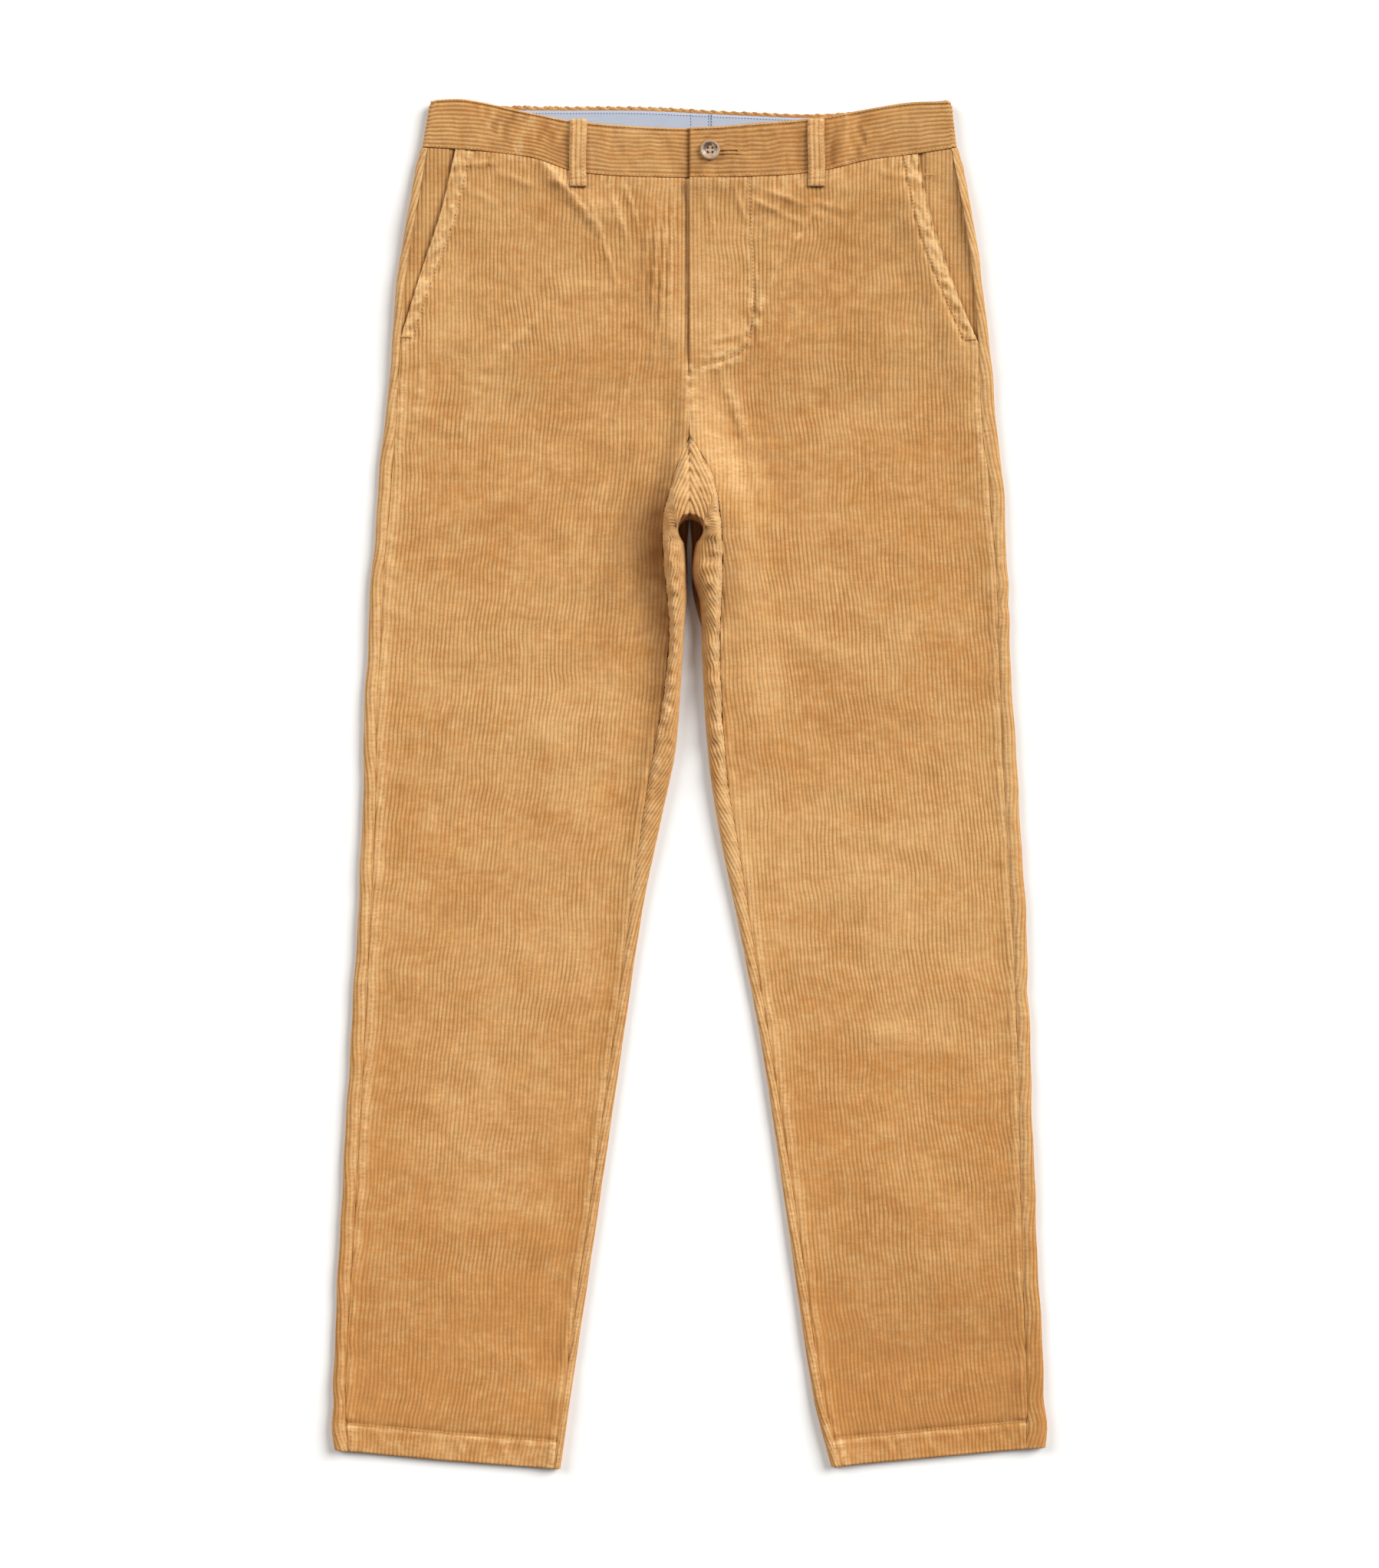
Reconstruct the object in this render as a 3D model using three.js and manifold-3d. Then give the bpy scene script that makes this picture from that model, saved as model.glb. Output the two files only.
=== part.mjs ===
// Corduroy trousers with a button and zip fly, laid out flat on their back.
// Millimetres, +Z up. The cloth rests on z = 0 with the waist towards +Y, and
// the front faces +Z. Left and right are the wearer's, so the right leg is at -X.
// The legs are flattened tubes: each back panel lies underneath, turns over the
// outer and inner folds, and meets the front panel at the outseam and inseam.
import * as THREE from "three";
import Module from "manifold-3d";
import { mergeVertices } from "three/addons/utils/BufferGeometryUtils.js";

// Cloth and gaps
const CLOTH = 1.7; // one layer of wide-wale corduroy
const HEM_CLOTH = 2.9; // panel and its turned-up hem, pressed
const BAND_CLOTH = 3.2; // waistband: two layers and interlining
const LINING_CLOTH = 0.8;
const LOOP_CLOTH = 2.0; // belt loop folded in three and pressed
const GAP = 0.3; // between any two pieces that touch

// Heights of the lying cloth
const FOLD_HALF = 4.5; // height of the outermost line of a rolled fold
const FOLD_WIDE = 6; // how far a rolled fold reaches in from its edge
const BAND_LIFT = 2; // the waist rides on its back belt loops
const LEG_TOP = 4.4; // front face over two layers
const HIP_TOP = 6.6; // three layers, over the pocket facings
const WAIST_TOP = 9.2;
const HEM_TOP = 7.4;
const ROLL_RISE = 4.2; // extra height of the cloth beside a fold
const ROLL_REACH = 13;
const BAND_PROUD = 0.8; // waistband face above the panel face

// Fly and waist
const FLY_BOTTOM = 325;
const FLY_LAP = 10; // right front under the left one
const FLY_WIDE = 42; // width of the fly's topstitched facing
const FLY_RISE = 2.1;
const BAND_LAP = 42; // right waistband end under the left one
const BAND_RISE = 3.6;
const ZIP = { from: 12, to: 36, low: 333, high: 466, thick: 1.2 };
const BUTTON = { x: 16, y: 494, radius: 7.8, thick: 3.2, hole: 0.9, pitch: 1.7 };
const LOOP_WIDE = 13;

// Fold lines and seams of the two legs, seen from above: x of the outer fold,
// of the outseam, of the inseam and of the inner fold, a row for each section.
const RIGHT_SIDE = [
  { y: -536, outer: -278, outseam: -266, inseam: -106, inner: -101 },
  { y: -480, outer: -279, outseam: -269, inseam: -99, inner: -93 },
  { y: -359, outer: -274, outseam: -263, inseam: -82, inner: -75 },
  { y: -215, outer: -266, outseam: -255, inseam: -62, inner: -54 },
  { y: -95, outer: -259, outseam: -249, inseam: -46, inner: -36 },
  { y: -23, outer: -256, outseam: -246, inseam: -36, inner: -21 },
  { y: 25, outer: -255, outseam: -245, inseam: -28, inner: -11 },
  { y: 73, outer: -254, outseam: -244, inseam: -20, inner: -7 },
  { y: 121, outer: -251, outseam: -241, inseam: -16, inner: -4 },
  { y: 150, outer: -250, outseam: -240, inseam: -18, inner: -2 },
  { y: 181, outer: -247, outseam: -238, inseam: -21, inner: -5 },
  { y: 211, outer: -245, outseam: -235, inseam: -20, inner: -12 },
  { y: 240, outer: -243, outseam: -233, inseam: -12, inner: 0 },
  { y: 276, outer: -239, outseam: -230, inseam: -1, inner: 0 },
  { y: 340, outer: -233, outseam: -226, inseam: 0, inner: 0 },
  { y: 400, outer: -228, outseam: -221, inseam: 0, inner: 0 },
  { y: 450, outer: -220, outseam: -213, inseam: 0, inner: 0 },
  { y: 497, outer: -211, outseam: -204, inseam: 0, inner: 0 },
  { y: 535, outer: -203, outseam: -196, inseam: 0, inner: 0 },
];
const LEFT_SIDE = [
  { y: -535, outer: 278.8, outseam: 263, inseam: 119, inner: 111 },
  { y: -480, outer: 278, outseam: 264, inseam: 105, inner: 97 },
  { y: -359, outer: 272, outseam: 260, inseam: 87, inner: 79 },
  { y: -215, outer: 267, outseam: 257, inseam: 65, inner: 58 },
  { y: -119, outer: 264, outseam: 253, inseam: 49, inner: 40 },
  { y: -47, outer: 260, outseam: 249, inseam: 38, inner: 25 },
  { y: 1, outer: 257, outseam: 246, inseam: 30, inner: 17 },
  { y: 54, outer: 254, outseam: 244, inseam: 26, inner: 12 },
  { y: 97, outer: 251, outseam: 242, inseam: 24, inner: 10 },
  { y: 141, outer: 250, outseam: 241, inseam: 25, inner: 8 },
  { y: 162, outer: 249, outseam: 240, inseam: 26, inner: 2 },
  { y: 181, outer: 248, outseam: 239, inseam: 26, inner: 2 },
  { y: 211, outer: 247, outseam: 236, inseam: 24, inner: 9 },
  { y: 240, outer: 245, outseam: 234, inseam: 18, inner: 0 },
  { y: 276, outer: 241, outseam: 229, inseam: 1, inner: 0 },
  { y: 340, outer: 235, outseam: 226, inseam: 0, inner: 0 },
  { y: 400, outer: 228, outseam: 221, inseam: 0, inner: 0 },
  { y: 450, outer: 220, outseam: 213, inseam: 0, inner: 0 },
  { y: 497, outer: 211, outseam: 204, inseam: 0, inner: 0 },
  { y: 535, outer: 205, outseam: 198, inseam: 0, inner: 0 },
];
// How far the cloth stands up between the inseams, along the crotch seam.
const CROTCH_RISE = [
  { y: -160, rise: 0 },
  { y: -60, rise: 2.5 },
  { y: 40, rise: 8 },
  { y: 110, rise: 14 },
  { y: 170, rise: 20 },
  { y: 211, rise: 24 },
  { y: 240, rise: 20 },
  { y: 276, rise: 10 },
  { y: 320, rise: 3 },
  { y: 370, rise: 0 },
];
// Slanting pocket mouths: the front panels end on these lines.
const RIGHT_POCKET = [
  { y: 346, x: -227 },
  { y: 397, x: -210 },
  { y: 440, x: -194 },
  { y: 497, x: -180 },
];
const LEFT_POCKET = [
  { y: 344, x: 226 },
  { y: 400, x: 202 },
  { y: 440, x: 188 },
  { y: 497, x: 176 },
];
// Edges of the waistband in front: y of the top edge and of the seam below it.
const BAND_FRONT = [
  { x: -211, top: 534, seam: 497 },
  { x: -176, top: 535.5, seam: 495 },
  { x: -125, top: 525, seam: 489 },
  { x: -85, top: 518, seam: 477 },
  { x: 0, top: 513, seam: 473 },
  { x: 60, top: 517, seam: 474 },
  { x: 106, top: 522, seam: 479 },
  { x: 140, top: 528, seam: 487 },
  { x: 172, top: 533, seam: 491 },
  { x: 211, top: 534, seam: 497 },
];
const BAND_BACK = [
  { x: -211, top: 534, seam: 497 },
  { x: -126, top: 530, seam: 492 },
  { x: -40, top: 529.5, seam: 490 },
  { x: 40, top: 526, seam: 489 },
  { x: 105, top: 524.5, seam: 489 },
  { x: 211, top: 534, seam: 497 },
];
// The largest folds and troughs of the front: the ends of each, its height
// (negative for a trough) and its half width.
const FOLDS = [
  { x0: -30, y0: 262, x1: -62, y1: 120, height: 2.6, wide: 12 },
  { x0: -12, y0: 330, x1: -34, y1: 470, height: 2.0, wide: 11 },
  { x0: -60, y0: 440, x1: -112, y1: 478, height: 2.4, wide: 10 },
  { x0: 46, y0: 345, x1: 96, y1: 440, height: 2.2, wide: 11 },
  { x0: 44, y0: 452, x1: 108, y1: 468, height: 2.0, wide: 9 },
  { x0: 168, y0: 470, x1: 214, y1: 330, height: 3.2, wide: 13 },
  { x0: 214, y0: 330, x1: 232, y1: 170, height: 2.0, wide: 12 },
  { x0: -202, y0: 360, x1: -224, y1: 250, height: 1.8, wide: 12 },
  { x0: 46, y0: 190, x1: 58, y1: 20, height: 2.4, wide: 16 },
  { x0: -120, y0: 60, x1: -90, y1: -60, height: 1.4, wide: 24 },
  { x0: -200, y0: -40, x1: -230, y1: -160, height: 1.4, wide: 22 },
  { x0: 120, y0: -60, x1: 170, y1: -150, height: 1.4, wide: 24 },
  { x0: -150, y0: -250, x1: -200, y1: -380, height: 1.3, wide: 26 },
  { x0: 150, y0: -280, x1: 200, y1: -400, height: 1.3, wide: 26 },
];
const FRONT_LOOPS = [
  { name: "belt_loop_front_right", x: -87, low: 466, high: 519 },
  { name: "belt_loop_front_left", x: 99, low: 466, high: 519 },
];
const BACK_LOOPS = [
  { name: "belt_loop_back_right", x: -110, low: 484, high: 529 },
  { name: "belt_loop_back_centre", x: 0, low: 481, high: 525 },
  { name: "belt_loop_back_left", x: 110, low: 482, high: 524 },
];
const HEM = {
  right: { outer: -521, inner: -536 },
  left: { outer: -519, inner: -534.5 },
};
const HEM_DEPTH = 28;

const clamp = (v, low, high) => Math.min(high, Math.max(low, v));
const mix = (a, b, f) => a + (b - a) * f;
const smooth = (edge0, edge1, v) => {
  const f = clamp((v - edge0) / (edge1 - edge0), 0, 1);
  return f * f * (3 - 2 * f);
};

// A column of a table at a place between its rows, on a smooth curve through
// them: a cubic in each interval, with each row's slope taken from its neighbours.
function read(table, key, column, at) {
  const last = table.length - 1;
  let i = table.findIndex((row) => row[key] > at) - 1;
  if (i === -2) i = last - 1;
  i = clamp(i, 0, last - 1);
  const slope = (k) => {
    const a = table[Math.max(k - 1, 0)];
    const b = table[Math.min(k + 1, last)];
    return (b[column] - a[column]) / (b[key] - a[key]);
  };
  const [a, b] = [table[i], table[i + 1]];
  const span = b[key] - a[key];
  const f = clamp((at - a[key]) / span, 0, 1);
  const g = f * f * (3 - 2 * f);
  const leave = slope(i) * span * f * (1 - f) * (1 - f);
  const arrive = slope(i + 1) * span * f * f * (1 - f);
  return mix(a[column], b[column], g) + leave - arrive;
}

const sideOf = (x) => (x < 0 ? RIGHT_SIDE : LEFT_SIDE);

// Height of one fold over a point: a ridge along its line, rounded across and
// fading out to both ends.
function foldHeight(fold, x, y) {
  const [dx, dy] = [fold.x1 - fold.x0, fold.y1 - fold.y0];
  const length = Math.hypot(dx, dy);
  const f = ((x - fold.x0) * dx + (y - fold.y0) * dy) / (length * length);
  const off = ((x - fold.x0) * dy - (y - fold.y0) * dx) / length;
  const ends = smooth(-0.25, 0.25, f) * (1 - smooth(0.75, 1.25, f));
  return fold.height * ends * Math.exp(-((off / fold.wide) ** 2));
}

// How far the underside is off the floor, near the waist only.
const lift = (y) => BAND_LIFT * smooth(405, 470, y);

// The outer face of the front cloth over the point (x, y).
function frontTop(x, y) {
  const side = sideOf(x);
  const sign = Math.sign(x) || 1;
  const hemY = mix(HEM.right.outer, HEM.right.inner, 0.5);
  const layers =
    LEG_TOP +
    (HIP_TOP - LEG_TOP) * smooth(290, 350, y) +
    (WAIST_TOP - HIP_TOP) * smooth(400, 478, y) +
    (HEM_TOP - LEG_TOP) * (1 - smooth(hemY + HEM_DEPTH, hemY + 3 * HEM_DEPTH, y));
  const fromOuter = sign * (read(side, "y", "outer", y) - x);
  const fromInner = sign * (x - read(side, "y", "inner", y));
  const closes = 1 - smooth(440, 490, y);
  const inner = Math.exp(-((fromInner / ROLL_REACH) ** 2)) * (1 - smooth(180, 260, y));
  const roll =
    ROLL_RISE * closes * Math.exp(-((fromOuter / ROLL_REACH) ** 2)) +
    ROLL_RISE * 0.7 * inner;
  const past = Math.max(0, sign * (x - read(side, "y", "inseam", y)));
  const reach = sign < 0 ? 13 : 24;
  const crotch = read(CROTCH_RISE, "y", "rise", y) * Math.exp(-((past / reach) ** 2));
  const folds = FOLDS.reduce((sum, fold) => sum + foldHeight(fold, x, y), 0);
  const flat = 1 - smooth(488, 512, y);
  return layers + roll + crotch + folds * mix(0.35, 1, flat);
}

// Extra height of the left front, which laps over the right one at the fly.
const flyRise = (x, y) =>
  FLY_RISE * (1 - smooth(14, FLY_WIDE + 6, x)) * smooth(300, FLY_BOTTOM - 3, y);
const bandRise = (x) => BAND_RISE * (1 - smooth(BAND_LAP + 8, BAND_LAP + 45, x));

// The cross-section of a rolled edge from its outermost line, as a share of
// the height still to climb: a quarter of an ellipse.
const rolled = (share) => Math.sqrt(1 - (1 - clamp(share, 0, 1)) ** 2);

// Turns a sheet of quads into a closed wall: the sheet is the outer face, the
// inner face is the same points moved in along their normals, and a rim joins
// the two along every free edge. Along a seam (a set of point numbers) the rim
// is upright, so that the two pieces meet there in one upright plane.
function wall(points, quads, thickness, seams = new Set()) {
  const count = points.length;
  const normals = points.map(() => new THREE.Vector3());
  const triangles = [];
  for (const [a, b, c, d] of quads) {
    for (const tri of [[a, b, c], [a, c, d]]) {
      if (new Set(tri).size === 3) triangles.push(tri);
    }
  }
  const [ab, ac, n] = [1, 2, 3].map(() => new THREE.Vector3());
  for (const tri of triangles) {
    ab.subVectors(points[tri[1]], points[tri[0]]);
    ac.subVectors(points[tri[2]], points[tri[0]]);
    n.crossVectors(ab, ac);
    tri.forEach((k) => normals[k].add(n));
  }
  const thick = (k) => (typeof thickness === "function" ? thickness(points[k]) : thickness);
  const inside = points.map((p, k) => {
    const [q, normal] = [p.clone(), normals[k].normalize()];
    if (seams.has(k)) return q.setZ(p.z - thick(k) / Math.max(0.6, normal.z));
    q.addScaledVector(normal, -thick(k));
    return Math.abs(p.x) <= GAP ? q.setX(p.x) : q; // centre seams stay in their plane
  });
  const uses = new Map();
  for (const [a, b, c] of triangles) {
    for (const [from, to] of [[a, b], [b, c], [c, a]]) uses.set(`${from},${to}`, [from, to]);
  }
  const faces = [...triangles, ...triangles.map(([a, b, c]) => [a + count, c + count, b + count])];
  for (const [from, to] of uses.values()) {
    if (uses.has(`${to},${from}`)) continue;
    faces.push([to, from, from + count], [to, from + count, to + count]);
  }
  const all = [...points, ...inside];
  const geometry = new THREE.BufferGeometry();
  geometry.setAttribute(
    "position",
    new THREE.Float32BufferAttribute(all.flatMap((p) => [p.x, p.y, p.z]), 3),
  );
  geometry.setIndex(faces.flat());
  return geometry;
}

// A sheet whose rows all have the same number of points, as quads facing up
// when the rows run towards +Y and each row runs towards +X.
function grid(rows, flip = false) {
  const wide = rows[0].length;
  const quads = [];
  for (let j = 0; j + 1 < rows.length; j++) {
    for (let i = 0; i + 1 < wide; i++) {
      const a = j * wide + i;
      const quad = [a, a + 1, a + 1 + wide, a + wide];
      quads.push(flip ? quad.reverse() : quad);
    }
  }
  return { points: rows.flat(), quads };
}

// The stations of one half of the trousers, from the hem to the waist seam.
// Each has the row's places on the outer fold, outseam, inseam or centre
// front, and inner fold or centre back.
const LEG_ROWS = 17;
const NOSE_ROWS = 7;
const CROTCH_ARCH = { right: 12, left: 9 }; // how wide the legs part under the crotch
const BODY_ROWS = 9;
function stations(side, hem, pocket) {
  const sign = Math.sign(side[0].outer);
  const at = (column, y) => read(side, "y", column, y);
  const made = [];
  for (let k = 0; k <= LEG_ROWS; k++) {
    const f = k / LEG_ROWS;
    const along = f + 0.18 * Math.sin(Math.PI * f) * f; // closer rows near the crotch
    const inner = mix(hem.inner, 188, along);
    const outer = mix(hem.outer, 190, along);
    made.push({
      outerY: outer,
      edge: [at("inner", inner), inner],
      seam: [at("inseam", inner), inner],
      tube: true,
    });
  }
  for (let k = 1; k <= NOSE_ROWS; k++) {
    const f = k / NOSE_ROWS;
    const turn = (Math.PI / 2) * f;
    const seamY = mix(188, 276, f);
    const swing = Math.cos(turn);
    const arch = CROTCH_ARCH[sign < 0 ? "right" : "left"] * Math.sin(2 * turn) * Math.sqrt(swing);
    const edgeX = at("inner", 188) * swing + sign * arch;
    made.push({
      outerY: mix(190, 240, f),
      edge: [edgeX, 188 + 22 * Math.sin(turn)],
      seam: [k === NOSE_ROWS ? 0 : at("inseam", seamY), seamY],
      tube: true,
    });
  }
  for (let k = 1; k <= BODY_ROWS; k++) {
    const f = k / BODY_ROWS;
    made.push({
      outerY: mix(240, 497, f),
      edge: [0, mix(210, 489, f)],
      seam: [0, mix(276, 473, f)],
      tube: false,
    });
  }
  for (const row of made) {
    row.outer = [at("outer", row.outerY), row.outerY];
    row.outseam = [at("outseam", row.outerY), row.outerY];
    const slant = read(pocket, "y", "x", row.outerY);
    row.front = row.outerY > pocket[0].y ? [slant, row.outerY] : row.outseam;
    row.sign = sign;
  }
  return made;
}

// The seam below the waistband dips between the side and the centre front, so
// the last rows of the front bend down to it.
function toWaistSeam(x, y, edgeTable, last, gap = GAP) {
  const top = read(edgeTable, "x", "seam", x) - gap;
  return y + (top - last) * smooth(last - 130, last, y);
}

const FRONT_COLUMNS = [0, 0.02, 0.045, 0.08, 0.13, 0.2, 0.32, 0.48, 0.64, 0.78, 0.88, 0.95, 1];
function frontPanel(side, hem, pocket, lapped) {
  const rows = stations(side, hem, pocket);
  const sign = rows[0].sign;
  const made = rows.map((row) => {
    const under = lapped ? FLY_LAP * smooth(FLY_BOTTOM - 2, FLY_BOTTOM + 12, row.seam[1]) : 0;
    const innerX = row.seam[0] + sign * (GAP / 2) * (lapped && under > 0 ? -1 : 1);
    const start = [innerX - sign * under, row.seam[1]];
    const end = [row.front[0] - sign * GAP, row.front[1]];
    return FRONT_COLUMNS.map((f) => {
      const x = mix(start[0], end[0], f);
      const rowY = mix(start[1], end[1], f);
      const y = toWaistSeam(x, rowY, BAND_FRONT, mix(473, 497, f));
      const z = frontTop(x, y) + (sign > 0 ? flyRise(x, y) : 0);
      return new THREE.Vector3(x, y, z);
    });
  });
  const sheet = grid(made, sign < 0);
  const wide = FRONT_COLUMNS.length;
  const atSeam = (k) => k % wide === 0 || k % wide === wide - 1 || k >= sheet.points.length - wide;
  const seams = new Set(sheet.points.map((p, k) => k).filter(atSeam));
  return wall(sheet.points, sheet.quads, hemThickness(hem), seams);
}

// Cloth thickness along a leg: the turned-up hem is thicker.
const hemThickness = (hem) => (p) => {
  const hemY = mix(hem.outer, hem.inner, 0.5);
  return mix(HEM_CLOTH, CLOTH, smooth(hemY + HEM_DEPTH, hemY + 2 * HEM_DEPTH, p.y));
};

// A back panel: from the outseam on top, out over the outer fold, along the
// floor, and either to the centre back seam, or up over the inner fold to the
// inseam. Its last tube row is the crotch seam.
const UNDER_COLUMNS = [0.25, 0.5, 0.75];
const ARC_STEPS = 4;
const STRIP_STEPS = 4;
function backPanel(side, hem, pocket) {
  const rows = stations(side, hem, pocket);
  const sign = rows[0].sign;
  const points = [];
  const quads = [];
  const seams = new Set();
  const place = (x, y, z) => points.push(new THREE.Vector3(x, y, z)) - 1;
  const lines = rows.map((row) => {
    const line = [];
    const waistShift = (x, y) =>
      row.tube ? y : toWaistSeam(x, y, BAND_BACK, mix(489, 497, Math.abs(x / row.outer[0])), 3 * GAP);
    const low = lift(row.outerY);
    const middle = low + FOLD_HALF;
    const toEdge = [row.edge[0] - row.outer[0], row.edge[1] - row.outer[1]];
    const across = Math.hypot(...toEdge);
    const step = toEdge.map((v) => v / across);
    const outward = (d) => [row.outer[0] + step[0] * d, row.outer[1] + step[1] * d];
    seams.add(points.length);
    // over the outer fold, from the outseam to its outermost line
    const wrap = Math.abs(row.outseam[0] - row.outer[0]) - GAP;
    for (let k = 0; k <= ARC_STEPS; k++) {
      const angle = (Math.PI / 2) * (k / ARC_STEPS);
      const share = 1 - Math.sin(angle);
      const [x, y] = [row.outer[0] - sign * wrap * share, row.outerY];
      const top = frontTop(x, y);
      const z = middle + (top - middle) * rolled((share * wrap) / Math.min(wrap, FOLD_WIDE));
      line.push(place(x, waistShift(x, y), z));
    }
    // down to the floor and along it
    for (const share of [0.3, 1]) {
      const [x, y] = outward(FOLD_HALF * share);
      line.push(place(x, waistShift(x, y), low + FOLD_HALF * (1 - rolled(share))));
    }
    for (const f of UNDER_COLUMNS) {
      const [x, y] = outward(mix(FOLD_HALF, across - FOLD_HALF, f));
      line.push(place(x, waistShift(x, y), low));
    }
    if (!row.tube) {
      const [x, y] = [row.edge[0] + sign * (GAP / 2), row.edge[1]];
      line.push(place(x, waistShift(x, y), low));
      return line;
    }
    for (const share of [1, 0.3]) {
      const [x, y] = outward(across - FOLD_HALF * share);
      const inX = Math.abs(row.edge[0]) < GAP ? row.edge[0] + sign * (GAP / 2) : x;
      line.push(place(inX, y, low + FOLD_HALF * (1 - rolled(share))));
    }
    // over the inner fold to the inseam
    const toSeam = [row.seam[0] - row.edge[0], row.seam[1] - row.edge[1]];
    const strip = Math.hypot(...toSeam);
    const rise = read(CROTCH_RISE, "y", "rise", row.edge[1]);
    const foldWide = Math.min(strip * 0.8, FOLD_WIDE + rise * 0.4);
    for (let k = 0; k <= STRIP_STEPS; k++) {
      const share = 1 - Math.cos((Math.PI / 2) * (k / STRIP_STEPS));
      const far = (share * (strip - GAP)) / strip;
      const x = row.edge[0] + toSeam[0] * far;
      const y = row.edge[1] + toSeam[1] * far;
      const clear = sign * Math.max(sign * x, GAP / 2);
      const top = frontTop(clear, y);
      line.push(place(clear, y, middle + (top - middle) * rolled((share * strip) / foldWide)));
    }
    seams.add(points.length - 1);
    return line;
  });
  for (let j = 0; j + 1 < lines.length; j++) {
    const [near, far] = [lines[j], lines[j + 1]];
    const wide = Math.min(near.length, far.length);
    for (let i = 0; i + 1 < wide; i++) {
      const quad = [near[i], near[i + 1], far[i + 1], far[i]];
      quads.push(sign > 0 ? quad : quad.reverse());
    }
  }
  return wall(points, quads, hemThickness(hem), seams);
}

// Half of the waistband: from the centre back along the floor, over the side
// fold and along the front to its end, which may run under the other half.
const BAND_ROWS = [0, 0.3, 0.7, 1];
const BAND_SIDE = [0.12, 0.34, 0.67];
const BACK_FRACTIONS = [1, 0.75, 0.5, 0.25, 0.08];
function bandHalf(side, pocket, frontEnds, overlaps) {
  const sign = Math.sign(side[0].outer);
  const half = (WAIST_TOP + BAND_PROUD - BAND_LIFT) / 2;
  const middle = BAND_LIFT + half;
  const made = BAND_ROWS.map((up) => {
    const row = [];
    const foldY = mix(497 + GAP, 534, up);
    const foldX = read(side, "y", "outer", foldY);
    for (const f of BACK_FRACTIONS) {
      const x = mix(foldX, sign * (GAP / 2), f);
      const y = mix(read(BAND_BACK, "x", "seam", x) + GAP, read(BAND_BACK, "x", "top", x), up);
      row.push(new THREE.Vector3(x, y, BAND_LIFT));
    }
    for (let k = 0; k <= 6; k++) {
      const angle = (Math.PI * k) / 6;
      const x = foldX - sign * half * (1 - Math.sin(angle));
      row.push(new THREE.Vector3(x, foldY, middle - half * Math.cos(angle)));
    }
    const mouth = read(pocket, "y", "x", 497) - sign * GAP;
    const columns = [...FRONT_COLUMNS].reverse().map((f) => mix(frontEnds[0], mouth, f));
    const xs = [...BAND_SIDE.map((f) => mix(foldX, mouth, f)), ...columns, ...frontEnds.slice(1)];
    for (const x of xs) {
      const [low, high] = ["seam", "top"].map((c) => read(BAND_FRONT, "x", c, x));
      const y = mix(low, high, up);
      const rise = overlaps ? bandRise(x) : 0;
      const settle = smooth(0, 50, Math.abs(x - foldX));
      const top = mix(WAIST_TOP, frontTop(x, y), settle) + BAND_PROUD + rise;
      row.push(new THREE.Vector3(x, y, top));
    }
    return row;
  });
  const sheet = grid(made, sign > 0);
  return wall(sheet.points, sheet.quads, BAND_CLOTH);
}

// A flat strip that follows a height function, given as its outer face.
function strip(xs, ys, top, thickness) {
  const rows = ys.map((y) => xs.map((x) => top(x, y)));
  const sheet = grid(rows);
  return wall(sheet.points, sheet.quads, thickness);
}
const steps = (from, to, count) =>
  Array.from({ length: count + 1 }, (_, k) => mix(from, to, k / count));

// The lining of the back waistband, which shows in the mouth of the waist.
const LINING_SEAM = 16;
const LINING_REACH = 190;
function lining(from, to) {
  return strip(steps(from, to, 8), [0, 1], (x, up) => {
    const high = read(BAND_BACK, "x", "top", x) - 3;
    const low = read(BAND_BACK, "x", "seam", x) + 4;
    const z = BAND_LIFT + BAND_CLOTH + GAP + LINING_CLOTH;
    return new THREE.Vector3(x, mix(low, high, up), z);
  }, LINING_CLOTH);
}

// The facing that fills a slanting pocket mouth, one layer below the front
// panel and the back panel's turned-over edge.
const FACING_UNDER = 20;
function facing(side, pocket) {
  const sign = Math.sign(side[0].outer);
  const ys = steps(pocket[0].y + 14, 494, 7);
  const rows = ys.map((y) => {
    const outer = read(side, "y", "outseam", y) + sign * 2;
    const inner = read(pocket, "y", "x", y) - sign * FACING_UNDER;
    const xs = steps(0, 1, 5).map((f) => mix(outer, inner, f));
    return xs.map((x) => {
      const down = CLOTH + GAP + 0.9;
      const seamY = read(BAND_FRONT, "x", "seam", x) - 2 * GAP;
      return new THREE.Vector3(x, Math.min(y, seamY), frontTop(x, y) - down);
    });
  });
  const sheet = grid(rows, sign > 0);
  return wall(sheet.points, sheet.quads, CLOTH);
}

// A belt loop in front: a narrow strip over the waistband, sewn at its ends,
// bridging the step down to the panel.
function frontLoop(loop) {
  const ys = steps(loop.low, loop.high, 8);
  const xs = steps(loop.x - LOOP_WIDE / 2, loop.x + LOOP_WIDE / 2, 2);
  return strip(xs, ys, (x, y) => {
    const f = (y - loop.low) / (loop.high - loop.low);
    const arch = 1.4 * Math.sin(Math.PI * f);
    const z = frontTop(loop.x, Math.min(y, 512)) + BAND_PROUD + 0.25 + GAP;
    const round = x === loop.x ? 0.3 : 0;
    return new THREE.Vector3(x, y, z + arch + LOOP_CLOTH + round);
  }, LOOP_CLOTH);
}

// A belt loop at the back, pressed flat between the waistband and the floor.
function backLoop(loop) {
  const geometry = new THREE.BoxGeometry(LOOP_WIDE, loop.high - loop.low, BAND_LIFT - GAP);
  geometry.translate(loop.x, (loop.low + loop.high) / 2, (BAND_LIFT - GAP) / 2);
  return geometry;
}

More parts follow.
